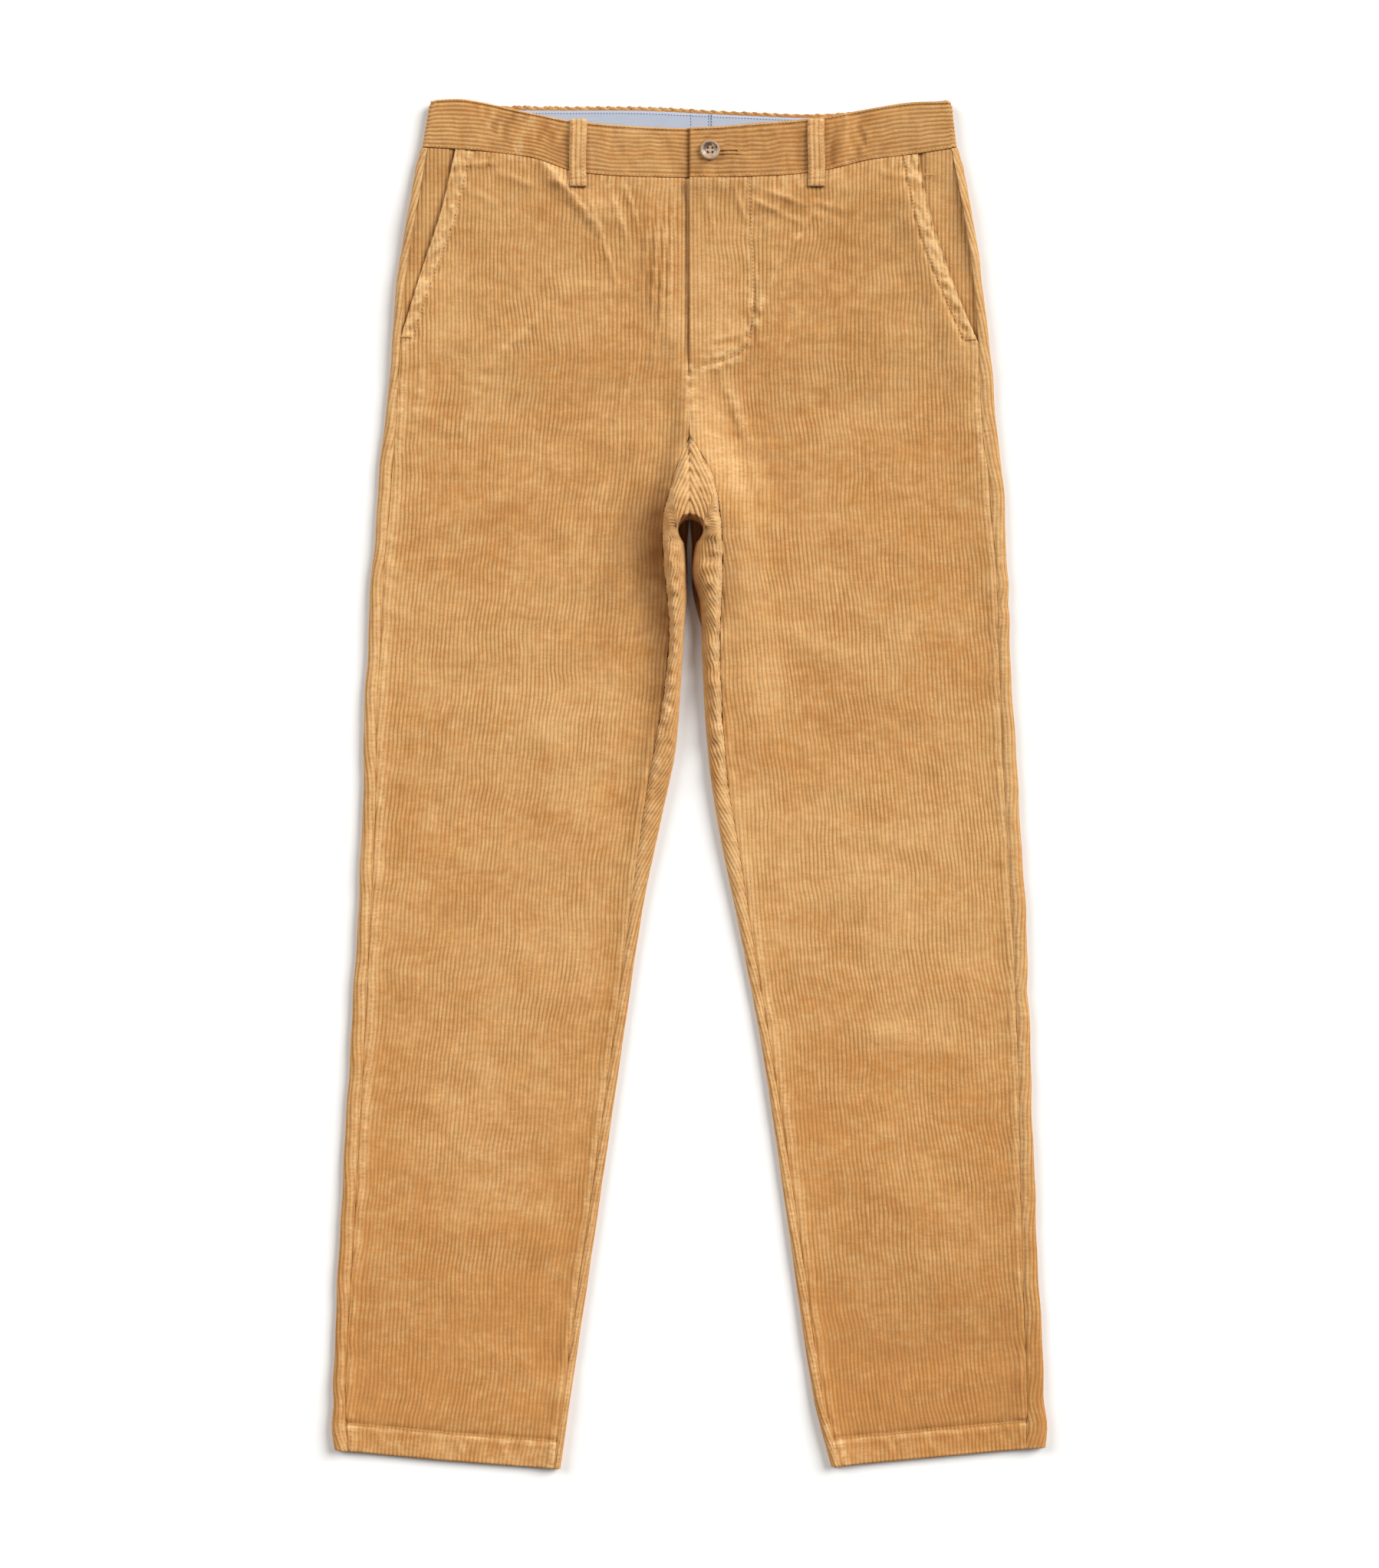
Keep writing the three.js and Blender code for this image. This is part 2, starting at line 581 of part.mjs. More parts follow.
const wasm = await Module();
wasm.setup();
function toSolid(geometry) {
  const bare = geometry.clone();
  bare.deleteAttribute("normal");
  bare.deleteAttribute("uv");
  const merged = mergeVertices(bare);
  return new wasm.Manifold(
    new wasm.Mesh({
      numProp: 3,
      vertProperties: merged.attributes.position.array,
      triVerts: new Uint32Array(merged.index.array),
    }),
  );
}
function toGeometry(solid) {
  const mesh = solid.getMesh();
  const geometry = new THREE.BufferGeometry();
  geometry.setAttribute("position", new THREE.BufferAttribute(mesh.vertProperties, 3));
  geometry.setIndex(new THREE.BufferAttribute(mesh.triVerts, 1));
  return geometry;
}

// The button: a turned disc with a raised rim, a dished face and four holes.
function button() {
  const { radius, thick, hole, pitch } = BUTTON;
  const profile = [
    [0, 0], [radius * 0.7, 0], [radius * 0.94, 0.7], [radius, 1.5],
    [radius * 0.97, 2.5], [radius * 0.86, thick], [radius * 0.72, thick - 0.25],
    [radius * 0.55, thick - 1.1], [0, thick - 1.2],
  ].map(([r, z]) => new THREE.Vector2(r, z));
  const disc = new THREE.LatheGeometry(profile, 28);
  disc.rotateX(Math.PI / 2);
  let solid = toSolid(disc);
  for (const [sx, sy] of [[-1, -1], [-1, 1], [1, -1], [1, 1]]) {
    const drill = new THREE.CylinderGeometry(hole, hole, 4 * thick, 8);
    drill.rotateX(Math.PI / 2);
    drill.translate(sx * pitch, sy * pitch, 0);
    solid = solid.subtract(toSolid(drill));
  }
  return toGeometry(solid);
}

const cloth = (name, geometry, color = 0xcf9a5e, roughness = 0.9) => {
  const material = new THREE.MeshStandardMaterial({ color, roughness, metalness: 0 });
  const mesh = new THREE.Mesh(geometry, material);
  mesh.name = name;
  return mesh;
};

const trousers = new THREE.Group();
trousers.add(
  cloth("front_right", frontPanel(RIGHT_SIDE, HEM.right, RIGHT_POCKET, true)),
  cloth("front_left", frontPanel(LEFT_SIDE, HEM.left, LEFT_POCKET, false)),
  cloth("back_right", backPanel(RIGHT_SIDE, HEM.right, RIGHT_POCKET)),
  cloth("back_left", backPanel(LEFT_SIDE, HEM.left, LEFT_POCKET)),
  cloth("waistband_right", bandHalf(RIGHT_SIDE, RIGHT_POCKET, [GAP / 2 + FLY_LAP, BAND_LAP], false)),
  cloth("waistband_left", bandHalf(LEFT_SIDE, LEFT_POCKET, [GAP / 2], true)),
  cloth("pocket_facing_right", facing(RIGHT_SIDE, RIGHT_POCKET)),
  cloth("pocket_facing_left", facing(LEFT_SIDE, LEFT_POCKET)),
  cloth("waistband_lining_right", lining(-LINING_REACH, LINING_SEAM - GAP / 2), 0xbfc6d6),
  cloth("waistband_lining_left", lining(LINING_SEAM + GAP / 2, LINING_REACH), 0xbfc6d6),
);
for (const loop of FRONT_LOOPS) trousers.add(cloth(loop.name, frontLoop(loop)));
for (const loop of BACK_LOOPS) trousers.add(cloth(loop.name, backLoop(loop)));

const zip = strip(
  [ZIP.from, mix(ZIP.from, ZIP.to, 0.5), ZIP.to],
  steps(ZIP.low, ZIP.high, 5),
  (x, y) => new THREE.Vector3(x, y, frontTop(x, y) + flyRise(x, y) - CLOTH - GAP - 0.2),
  ZIP.thick,
);
trousers.add(cloth("fly_zip", zip, 0x8a6a44, 0.6));

const buttonMesh = cloth("button", button(), 0x9a7a5c, 0.35);
buttonMesh.position.set(
  BUTTON.x,
  BUTTON.y,
  frontTop(BUTTON.x, BUTTON.y) + BAND_PROUD + bandRise(BUTTON.x) + GAP,
);
trousers.add(buttonMesh);

export default trousers;
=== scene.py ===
"""Wide-wale corduroy trousers, laid out flat on their back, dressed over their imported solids.

Lengths in the tables and the shape functions are millimetres, and a mesh is put into metres when it is made.
x runs to the wearer's left, y from the hems to the waist and z up, as in the solids.
"""

import math

import bpy
import numpy as np
from bpy.props import FloatProperty, FloatVectorProperty, PointerProperty
from bpy.types import Operator, Panel, PropertyGroup
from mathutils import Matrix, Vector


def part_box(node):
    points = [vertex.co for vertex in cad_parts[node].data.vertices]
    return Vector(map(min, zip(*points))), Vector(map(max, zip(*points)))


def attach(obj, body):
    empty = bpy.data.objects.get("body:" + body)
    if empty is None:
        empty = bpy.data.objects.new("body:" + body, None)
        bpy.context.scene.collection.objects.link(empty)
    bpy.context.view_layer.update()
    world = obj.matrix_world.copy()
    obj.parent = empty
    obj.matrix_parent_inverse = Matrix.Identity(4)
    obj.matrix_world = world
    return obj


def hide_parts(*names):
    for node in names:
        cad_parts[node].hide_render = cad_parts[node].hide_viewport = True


bl_info = {
    "name": "Corduroy trousers",
    "version": (1, 0, 0),
    "blender": (4, 5, 0),
    "location": "View3D > Sidebar > Trousers",
    "description": "Builds corduroy trousers laid flat, piece by piece, and the stage under them",
    "category": "Object",
}

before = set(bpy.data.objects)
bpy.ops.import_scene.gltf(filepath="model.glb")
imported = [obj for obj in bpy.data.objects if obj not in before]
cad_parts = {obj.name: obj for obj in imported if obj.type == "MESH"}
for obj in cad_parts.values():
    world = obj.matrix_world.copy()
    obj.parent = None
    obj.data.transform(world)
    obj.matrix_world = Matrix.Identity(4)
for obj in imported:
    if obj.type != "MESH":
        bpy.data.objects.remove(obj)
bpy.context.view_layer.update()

MM = 1000.0
GAP = 0.06


def table(columns, *rows):
    """A table as one array of numbers to a named column."""
    return dict(zip(columns, np.array(rows, float).T, strict=True))


# Fold lines and seams of the two legs seen from above, one row to a section:
# x of the outer fold, the outseam, the inseam and the inner fold.
SIDE_COLUMNS = ("y", "outer", "outseam", "inseam", "inner")
RIGHT_SIDE = table(
    SIDE_COLUMNS,
    (-536, -278, -266, -106, -101),
    (-480, -279, -269, -99, -93),
    (-359, -274, -263, -82, -75),
    (-215, -266, -255, -62, -54),
    (-95, -259, -249, -46, -36),
    (-23, -256, -246, -36, -21),
    (25, -255, -245, -28, -11),
    (73, -254, -244, -20, -7),
    (121, -251, -241, -16, -4),
    (150, -250, -240, -18, -2),
    (181, -247, -238, -21, -3.5),
    (211, -245, -235, -20, -6),
    (240, -243, -233, -12, 0),
    (276, -239, -230, -1, 0),
    (340, -233, -226, 0, 0),
    (400, -228, -221, 0, 0),
    (450, -218, -211, 0, 0),
    (497, -209.5, -202.5, 0, 0),
    (535, -203, -196, 0, 0),
)
LEFT_SIDE = table(
    SIDE_COLUMNS,
    (-535, 278.8, 263, 119, 111),
    (-480, 278, 264, 105, 97),
    (-359, 272, 260, 87, 79),
    (-215, 267, 257, 65, 58),
    (-119, 264, 253, 49, 40),
    (-47, 260, 249, 38, 25),
    (1, 257, 246, 30, 17),
    (54, 254, 244, 26, 12),
    (97, 251, 242, 24, 10),
    (141, 250, 241, 25, 8),
    (162, 249, 240, 26, 2),
    (181, 248, 239, 26, 3.5),
    (211, 247, 236, 24, 9),
    (240, 245, 234, 18, 0),
    (276, 241, 229, 1, 0),
    (340, 235, 226, 0, 0),
    (400, 228, 221, 0, 0),
    (450, 218.5, 211.5, 0, 0),
    (497, 209.5, 202.5, 0, 0),
    (535, 205, 198, 0, 0),
)
CROTCH_RISE = table(
    ("y", "rise"),
    (-160, 0),
    (-60, 2.5),
    (40, 8),
    (110, 15),
    (170, 23),
    (211, 27),
    (240, 22),
    (276, 11),
    (320, 3),
    (370, 0),
)
# How far the cloth sinks along the inseam beside the crotch, on the right and the left leg.
CROTCH_SINK = table(
    ("y", "right", "left"),
    (-60, 0.0, 0.0),
    (20, 3.0, 2.0),
    (90, 8.5, 4.0),
    (150, 13.0, 6.0),
    (211, 13.5, 5.5),
    (255, 6.0, 2.5),
    (285, 0.0, 0.0),
)
POCKETS = {
    -1: table(("y", "x"), (346, -227), (397, -210), (440, -194), (497, -180)),
    1: table(("y", "x"), (344, 226), (400, 202), (440, 188), (497, 176)),
}
BAND_COLUMNS = ("x", "top", "seam")
BAND_FRONT = table(
    BAND_COLUMNS,
    (-211, 534, 497),
    (-176, 535.5, 495),
    (-125, 525, 489),
    (-85, 518, 477),
    (0, 513, 473),
    (60, 517, 474),
    (106, 522, 479),
    (140, 528, 487),
    (172, 533, 491),
    (211, 534, 497),
)
BAND_BACK = table(
    BAND_COLUMNS,
    (-211, 534, 497),
    (-126, 530.5, 492),
    (-40, 530.2, 490),
    (40, 526.5, 489),
    (105, 524.8, 489),
    (211, 534, 497),
)
# Hem lines, y at the outer and inner corner and how far the middle hangs below.
HEMS = {
    -1: {"outer": -521.0, "inner": -536.0, "sag": 1.2},
    1: {"outer": -519.0, "inner": -534.5, "sag": 0.0},
}
SIDES = {-1: RIGHT_SIDE, 1: LEFT_SIDE}
SIDE_NAMES = {-1: "right", 1: "left"}

# Ridges (and, below zero, troughs) of the lying cloth: both ends, height, half width.
MAIN_CREASES = (
    (-30, 262, -62, 120, 2.6, 12),
    (-12, 330, -34, 470, 2.0, 11),
    (-60, 440, -112, 478, 2.4, 10),
    (46, 345, 96, 440, 2.2, 11),
    (44, 452, 108, 468, 2.0, 9),
    (168, 470, 214, 330, 3.2, 13),
    (214, 330, 232, 170, 2.0, 12),
    (-202, 360, -224, 250, 1.8, 12),
    (46, 190, 58, 20, 2.4, 16),
    (-120, 60, -90, -60, 1.4, 24),
    (-200, -40, -230, -160, 1.4, 22),
    (120, -60, 170, -150, 1.4, 24),
    (-150, -250, -200, -380, 1.3, 26),
    (150, -280, 200, -400, 1.3, 26),
)
FINE_CREASES = (
    (-13, 456, -16, 362, 1.7, 2.6, 0.5),
    (-18, 452, -22, 366, 1.5, 2.4, 0.5),
    (-24, 448, -29, 372, 1.5, 2.6, 0.4),
    (-31, 442, -38, 388, 1.1, 2.8, 0.4),
    (-20, 372, -30, 330, 1.0, 3.5, 0.4),
    (-118, 489, -98, 466, 1.9, 5.0, 0.5),
    (-98, 466, -70, 434, 1.6, 5.0, 0.5),
    (-62, 462, -48, 424, 1.3, 4.0, 0.4),
    (-78, 456, -58, 396, 1.0, 3.6, 0.5),
    (-50, 466, -40, 436, 1.1, 3.0, 0.4),
    (-42, 330, -62, 272, 1.0, 4.0, 0.4),
    (-52, 400, -70, 352, 0.8, 4.0, 0.4),
    (58, 464, 92, 452, 1.3, 2.6, 0.4),
    (50, 456, 84, 440, 1.0, 2.8, 0.4),
    (34, 468, 44, 440, 1.0, 3.0, 0.4),
    (12, 462, 20, 430, 0.7, 3.0, 0.4),
    (118, 470, 96, 420, 1.0, 4.0, -0.4),
    (14, 345, 44, 352, 1.2, 2.6, 0.4),
    (10, 338, 34, 340, 1.0, 2.2, 0.4),
    (56, 340, 78, 392, 1.2, 4.0, 0.4),
    (66, 330, 92, 372, 0.9, 4.0, 0.4),
    (-114, 368, -158, 325, 1.3, 5.5, -0.4),
    (-158, 325, -184, 268, 1.1, 5.5, -0.4),
    (97, 446, 66, 398, 1.9, 4.5, 0.4),
    (66, 398, 53, 366, 1.6, 4.5, 0.4),
    (74, 466, 60, 430, 0.8, 4.0, 0.3),
    (88, 456, 120, 449, 1.2, 3.0),
    (92, 447, 116, 438, 0.8, 3.0),
    (116, 462, 150, 470, 0.8, 4.5),
    (-247, 172, -228, 166, 0.9, 3.0),
    (-246, 158, -226, 150, 0.8, 3.0),
    (-245, 139, -224, 133, 0.7, 3.0),
    (252, 160, 232, 154, 1.0, 3.0),
    (253, 128, 230, 122, 0.7, 3.0),
    (180, 470, 206, 462, 1.1, 4.0, 0.3),
    (186, 484, 208, 478, 0.8, 3.0),
    (-206, 470, -196, 430, 0.8, 4.0, 0.3),
    (-182, 483, -150, 484.5, 1.2, 2.4, 0.3),
    (-150, 478, -120, 466, 0.9, 3.6, 0.3),
    (-176, 466, -150, 452, 0.8, 4.0, 0.3),
    (150, 478, 182, 470, 1.0, 3.2, 0.3),
    (190, 462, 206, 440, 1.0, 4.0, 0.3),
    (196, 440, 212, 400, 0.9, 4.0, 0.4),
    (204, 400, 222, 350, 1.0, 4.0, 0.4),
    (-196, 420, -214, 360, 0.9, 4.5, -0.4),
    (-208, 330, -216, 270, 1.0, 4.0, 0.4),
    (236, 330, 228, 262, 0.9, 4.0, 0.4),
    (-44, 250, -84, 150, 1.6, 6.0, 0.4),
    (-58, 250, -108, 140, 1.1, 6.0, 0.4),
    (-40, 130, -70, 50, 1.0, 7.0, 0.4),
    (20, 330, 44, 268, 1.3, 6.0, -0.4),
    (34, 300, 60, 210, 1.1, 7.0, -0.4),
    (60, 120, 130, 96, 0.8, 9.0),
    (-150, 30, -70, 52, 0.8, 9.0),
    (-230, -300, -150, -286, 0.8, 10.0),
    (-210, 200, -120, 232, 0.7, 9.0),
    (110, 200, 200, 176, 0.7, 9.0),
    (90, -30, 180, -52, 0.7, 9.0),
    (120, -190, 210, -206, 0.8, 10.0),
    (-190, -440, -120, -452, 0.8, 9.0),
    (170, -470, 240, -462, 0.8, 9.0),
)

# Broad places where the nap lies lighter or (below zero) darker, some of the darker ones painted shade: those
# beside the crotch stand for the shade of the raised inseam. Centre, half width and height, amount.
NAP_TONES_AND_PAINTED_SHADE = (
    (22, 410, 26, 70, 0.12),
    (190, -440, 120, 110, -0.38),
    (-190, -470, 110, 80, -0.20),
    (-60, 170, 26, 70, -0.30),
    (-44, 215, 14, 50, -0.45),
    (-34, 400, 18, 60, -0.22),
    (-190, 80, 40, 160, -0.10),
    (205, 380, 26, 90, -0.10),
    (-200, 130, 30, 60, 0.12),
    (-130, -110, 70, 90, 0.12),
    (150, -60, 60, 80, 0.10),
    (262, -490, 26, 60, -0.45),
    (110, -480, 16, 30, -0.15),
    (-262, -440, 16, 80, -0.25),
    (60, 230, 22, 90, -0.25),
    (-150, 380, 60, 90, -0.10),
    (130, 380, 60, 100, -0.26),
    (-120, -270, 90, 60, 0.12),
    (160, -240, 80, 60, 0.02),
    (150, 40, 80, 100, -0.10),
    (-60, 440, 30, 26, 0.15),
)


def length_setting(name, default, description):
    """A length in metres that a user may change."""
    kind = {"unit": "LENGTH", "subtype": "DISTANCE"}
    return FloatProperty(name=name, description=description, default=default, **kind)


def colour_setting(name, default, description):
    """A linear colour that a user may change."""
    return FloatVectorProperty(name=name, description=description, default=default, size=3, subtype="COLOR")


class ClothSizes(PropertyGroup):
    """The corduroy and how it lies."""

    wale_pitch: length_setting("Wale pitch", 0.003175, "From one wale to the next, eight to the inch")
    wale_depth: length_setting("Wale depth", 0.0006, "From the top of a wale to the bottom of its groove")
    cloth: length_setting("Cloth", 0.0017, "Thickness of one layer")
    hem_depth: length_setting("Hem depth", 0.022, "From the hem's fold to its stitching")
    row: length_setting("Row", 0.0044, "Spacing of the cross-sections of a panel")


class SewingSizes(PropertyGroup):
    """Stitches and topstitching."""

    stitch: length_setting("Stitch", 0.003, "Length of one stitch with its gap")
    thread: length_setting("Thread", 0.0008, "Thickness of the sewing thread")
    edge: length_setting("Edge stitch", 0.002, "From an edge of the waistband to its stitching")
    pocket: length_setting("Pocket stitch", 0.0100, "From the pocket's edge to its topstitching")
    loop_wide: length_setting("Belt loop", 0.013, "Width of a belt loop")


class ButtonSizes(PropertyGroup):
    """The waist button, which has four holes."""

    across: length_setting("Across", 0.0156, "Diameter of the button")
    thick: length_setting("Thick", 0.0032, "Height of the rim")
    hole: length_setting("Hole", 0.0010, "Radius of a hole")
    hole_place: length_setting("Hole place", 0.0017, "From the centre lines to a hole")
    buttonhole: length_setting("Buttonhole", 0.023, "Length of the buttonhole")


class Colours(PropertyGroup):
    """Colours of the finishes, linear."""

    light_nap: colour_setting("Light nap", (0.715, 0.430, 0.180), "Pile brushed up, on the wales")
    deep_nap: colour_setting("Deep nap", (0.588, 0.280, 0.090), "Pile brushed down, on the wales")
    # The ground's own colour, made darker also as painted shade of the grooves between the wales.
    groove: colour_setting("Groove", (0.37, 0.155, 0.036), "Ground between the wales")
    # Painted shade: this colour is blended in where the wear value is below zero, in the crotch valley, in
    # the gap between the legs and on slopes turned away from the lamps.
    shadow: colour_setting("Shadow", (0.20, 0.070, 0.016), "Pile pressed down, deep in folds")
    # Rubbed pile, and also painted highlight: this colour is blended in where the wear value is raised,
    # partly by painted light on faces turned to the lamps.
    worn_and_painted_light: colour_setting("Worn", (0.77, 0.500, 0.240), "Rubbed pile along seams and folds")
    thread: colour_setting("Thread", (0.70, 0.39, 0.145), "Tan sewing thread")
    lining: colour_setting("Lining", (0.44, 0.465, 0.53), "Pale blue waist lining")
    lining_thread: colour_setting("Lining thread", (0.08, 0.13, 0.30), "Blue sewing thread")
    button: colour_setting("Button", (0.44, 0.31, 0.21), "Light part of the mottled button")
    button_dark: colour_setting("Button dark", (0.11, 0.065, 0.045), "Dark part of the mottled button")


class StageSizes(PropertyGroup):
    """Camera and light."""

    camera_height: length_setting("Camera height", 2.8, "Above the floor")
    view_long: length_setting("View", 1.2264, "Long side of what the camera sees")
    fill: FloatProperty(name="Fill", description="Light from all round", default=0.15, min=0.0)
    key: FloatProperty(name="Key", description="Light from the upper right", default=3.45, min=0.0)
    second: FloatProperty(name="Second light", description="Light from the upper left", default=1.7, min=0.0)
    key_height: FloatProperty(
        name="Key height", description="Angle of both lights above the floor", default=math.radians(38),
        unit="ROTATION", subtype="ANGLE",
    )


class TrouserSettings(PropertyGroup):
    """All that a user would change."""

    cloth: PointerProperty(type=ClothSizes)
    sewing: PointerProperty(type=SewingSizes)
    button: PointerProperty(type=ButtonSizes)
    colours: PointerProperty(type=Colours)
    stage: PointerProperty(type=StageSizes)


def settings():
    """The scene's own settings."""
    return bpy.context.scene.trousers


# Heights of the lying cloth, as in the solids.
FOLD_HALF = 4.5
FOLD_WIDE = 6.0
BAND_LIFT = 2.0
BAND_WALL = 3.2
LEG_TOP = 4.4
HIP_TOP = 6.6
WAIST_TOP = 9.2
HEM_TOP = 7.4
ROLL_RISE = 4.2
ROLL_REACH = 13.0
BAND_PROUD = 0.8
FLY_BOTTOM = 325.0
FLY_LAP = 10.0
FLY_WIDE = 42.0
FLY_RISE = 2.1
BAND_LAP = 42.0
BAND_RISE = 3.6
CROTCH_Y = 188.0
NOSE_SWING = 18.0
NOSE_TIP = 276.0
CROTCH_ARCH = {-1: 6.0, 1: 7.5}
WAIST_BASE = 485.0
WAIST_REACH = 130.0
INSEAM_TOP = 262.0
BAND_WIDE = 38.0
HEM_ROLL = 1.6
CUT_ROLL = 1.8
FAR = 99.0


def mix(a, b, f):
    """From a to b by the share f."""
    return a + (b - a) * f


def smooth(start, end, v):
    """0 before start, 1 after end, and a cubic ease between."""
    f = np.clip((np.asarray(v, float) - start) / (end - start), 0, 1)
    return f * f * (3 - 2 * f)


def bell(v, wide):
    """1 at 0, falling off evenly to both sides."""
    return np.exp(-((v / wide) ** 2))


def along(rows, key, column, at):
    """A smooth curve through a table: a cubic in each interval, whose slope at a row is that of the line
    between the row's neighbours, held level past both ends."""
    k, v = rows[key], rows[column]
    last = len(k) - 1
    low, high = np.maximum(np.arange(last + 1) - 1, 0), np.minimum(np.arange(last + 1) + 1, last)
    slope = (v[high] - v[low]) / (k[high] - k[low])
    i = np.clip(np.searchsorted(k, at, side="right") - 1, 0, last - 1)
    span = k[i + 1] - k[i]
    f = np.clip((at - k[i]) / span, 0, 1)
    curve = mix(v[i], v[i + 1], f * f * (3 - 2 * f))
    return curve + slope[i] * span * f * (1 - f) ** 2 - slope[i + 1] * span * f * f * (1 - f)


def line_of(sign, column, y):
    """x of a fold line or seam at y, with the small unevenness of the real edge on the outer fold."""
    x = along(SIDES[sign], "y", column, y)
    if column == "inseam":
        x = x * (1 - smooth(INSEAM_TOP, NOSE_TIP, y))
    if column == "outer":
        wave = 0.35 * np.sin(y / 17 + sign) + 0.25 * np.sin(y / 7.3 + 2 * sign)
        notch = 1.3 * bell(y - 157, 9) - 0.9 * bell(y - 140, 6) - 0.8 * bell(y + 164, 8) if sign > 0 else 0
        hem_flare = 1.5 * bell(y + 511, 11) - 0.8 * bell(y + 488, 10) - 1.8 * (1 - smooth(-537, -526, y))
        x = x + sign * (wave * smooth(-525, -480, y) * (1 - smooth(400, 470, y)) + notch + hem_flare)
        x = x - sign * 1.8 * smooth(468, 490, y)
    return x


def crease_height(x, y, creases):
    """The sum of ridges, each a bell across its line that fades out to both ends. Where a ridge has a sixth
    size, lean, its right side (left, below zero) is that share steeper."""
    total = np.zeros(np.broadcast(x, y).shape)
    for x0, y0, x1, y1, height, wide, *lean in creases:
        dx, dy = x1 - x0, y1 - y0
        length = math.hypot(dx, dy)
        f = ((x - x0) * dx + (y - y0) * dy) / length**2
        off = ((x - x0) * dy - (y - y0) * dx) / length
        if lean:
            wide = np.where(off * np.sign(dy) * lean[0] > 0, wide * (1 - abs(lean[0])), wide)
        total += height * smooth(-0.25, 0.25, f) * (1 - smooth(0.75, 1.25, f)) * bell(off, wide)
    return total


def rolled(share):
    """Height of a rolled edge as a share of its full height: a quarter of an ellipse."""
    return np.sqrt(1 - (1 - np.clip(share, 0, 1)) ** 2)


def under_lift(y):
    """How far the underside is off the floor: level on it, but for the rise to the waist."""
    return BAND_LIFT * smooth(405, 470, y)


def cloud(x, y, wide, high, seed):
    """Smooth random values between -1 and 1, one to each cell of wide by high, eased from cell to cell."""
    lattice = np.random.default_rng(seed).uniform(-1, 1, (61, 61))
    gx, gy = np.broadcast_arrays(np.asarray(x) / wide, np.asarray(y) / high)
    i, j = np.floor(gx).astype(int), np.floor(gy).astype(int)
    fx, fy = smooth(0, 1, gx - i), smooth(0, 1, gy - j)
    i0, i1, j0, j1 = i % 61, (i + 1) % 61, j % 61, (j + 1) % 61
    return mix(mix(lattice[i0, j0], lattice[i1, j0], fx), mix(lattice[i0, j1], lattice[i1, j1], fx), fy)


def slack(x, y):
    """The unevenness of cloth that has been laid by hand: random swells of three sizes."""
    small = 0.28 * cloud(x, y, 17, 11, 2) + 0.12 * cloud(x, y, 7, 5, 3)
    across = 0.20 * cloud(x, y, 16, 6, 36) * smooth(60, 260, y)
    return 0.25 + 0.50 * cloud(x, y, 44, 27, 1) + small + across


def sway(x, y):
    """How far the wales wander sideways, less beside the straight edge of the fly."""
    wander = 2.4 * cloud(x, y, 95, 66, 4) + 1.1 * cloud(x, y, 33, 24, 5) + 0.38 * cloud(x, y, 12, 8, 6)
    return wander * mix(1, smooth(2, 30, np.abs(x)), smooth(225, 270, y))


def wale_depth(x, y):
    """Depth of the grooves, which vary with the lie of the pile."""
    uneven = 0.85 + 0.4 * cloud(x, y, 24, 13, 7) + 0.2 * smooth(240, 330, y)
    return settings().cloth.wale_depth * MM * uneven


def patches(x, y):
    """How unevenly a rubbed place is rubbed, around 1."""
    return 0.75 + 0.5 * cloud(x, y, 9, 6, 8)


def cloth_top(x, y, fine=True):
    """Height of the front cloth's middle face over (x, y): its layers, the rolls beside the folds, the rise
    to the crotch and the creases."""
    left = x >= 0

    def of_side(column):
        return np.where(left, along(LEFT_SIDE, "y", column, y), along(RIGHT_SIDE, "y", column, y))

    sign = np.where(left, 1.0, -1.0)
    hem_y = mix(HEMS[-1]["outer"], HEMS[-1]["inner"], 0.5)
    layers = (
        LEG_TOP
        + (HIP_TOP - LEG_TOP) * smooth(290, 350, y)
        + (WAIST_TOP - HIP_TOP) * smooth(400, 478, y)
        + (HEM_TOP - LEG_TOP) * (1 - smooth(hem_y + 28, hem_y + 84, y))
    )
    from_outer = sign * (of_side("outer") - x)
    from_inner = sign * (x - of_side("inner"))
    closes = 1 - smooth(440, 490, y)
    inner = bell(from_inner, ROLL_REACH) * (1 - smooth(180, 260, y))
    roll = ROLL_RISE * (closes * bell(from_outer, ROLL_REACH) + 0.7 * inner)
    past = np.maximum(0, sign * (x - of_side("inseam")))
    crotch = along(CROTCH_RISE, "y", "rise", y) * bell(past, np.where(left, 24.0, 13.0))
    beside = sign * (x - of_side("inseam") * (1 - smooth(INSEAM_TOP, NOSE_TIP, y)))
    sink = np.where(left, along(CROTCH_SINK, "y", "left", y), along(CROTCH_SINK, "y", "right", y))
    valley = mix(2.0, 0.0, smooth(0, 60, y - 200))
    crotch = crotch - sink * bell(beside - valley, np.where(beside > valley, 15.0, 4.0))
    creases = crease_height(x, y, MAIN_CREASES)
    settled = mix(0.35, 1, 1 - smooth(488, 512, y))
    if fine:
        creases = creases + crease_height(x, y, FINE_CREASES) * (1 + 0.5 * cloud(x, y, 6, 5, 11))
        creases = creases + slack(x, y) * (1 - smooth(440, 480, y)) * smooth(-520, -470, y)
    return layers + roll + crotch + creases * settled


def fly_rise(x, y):
    """How much higher the left front lies, where it laps over the right one and the fly's facing."""
    return FLY_RISE * (1 - smooth(14, FLY_WIDE + 6, x)) * smooth(FLY_BOTTOM - 10, FLY_BOTTOM + 12, y)


def band_rise(x):
    """How much higher the left end of the waistband lies, over the right one."""
    return BAND_RISE * (1 - smooth(BAND_LAP + 8, BAND_LAP + 45, x))


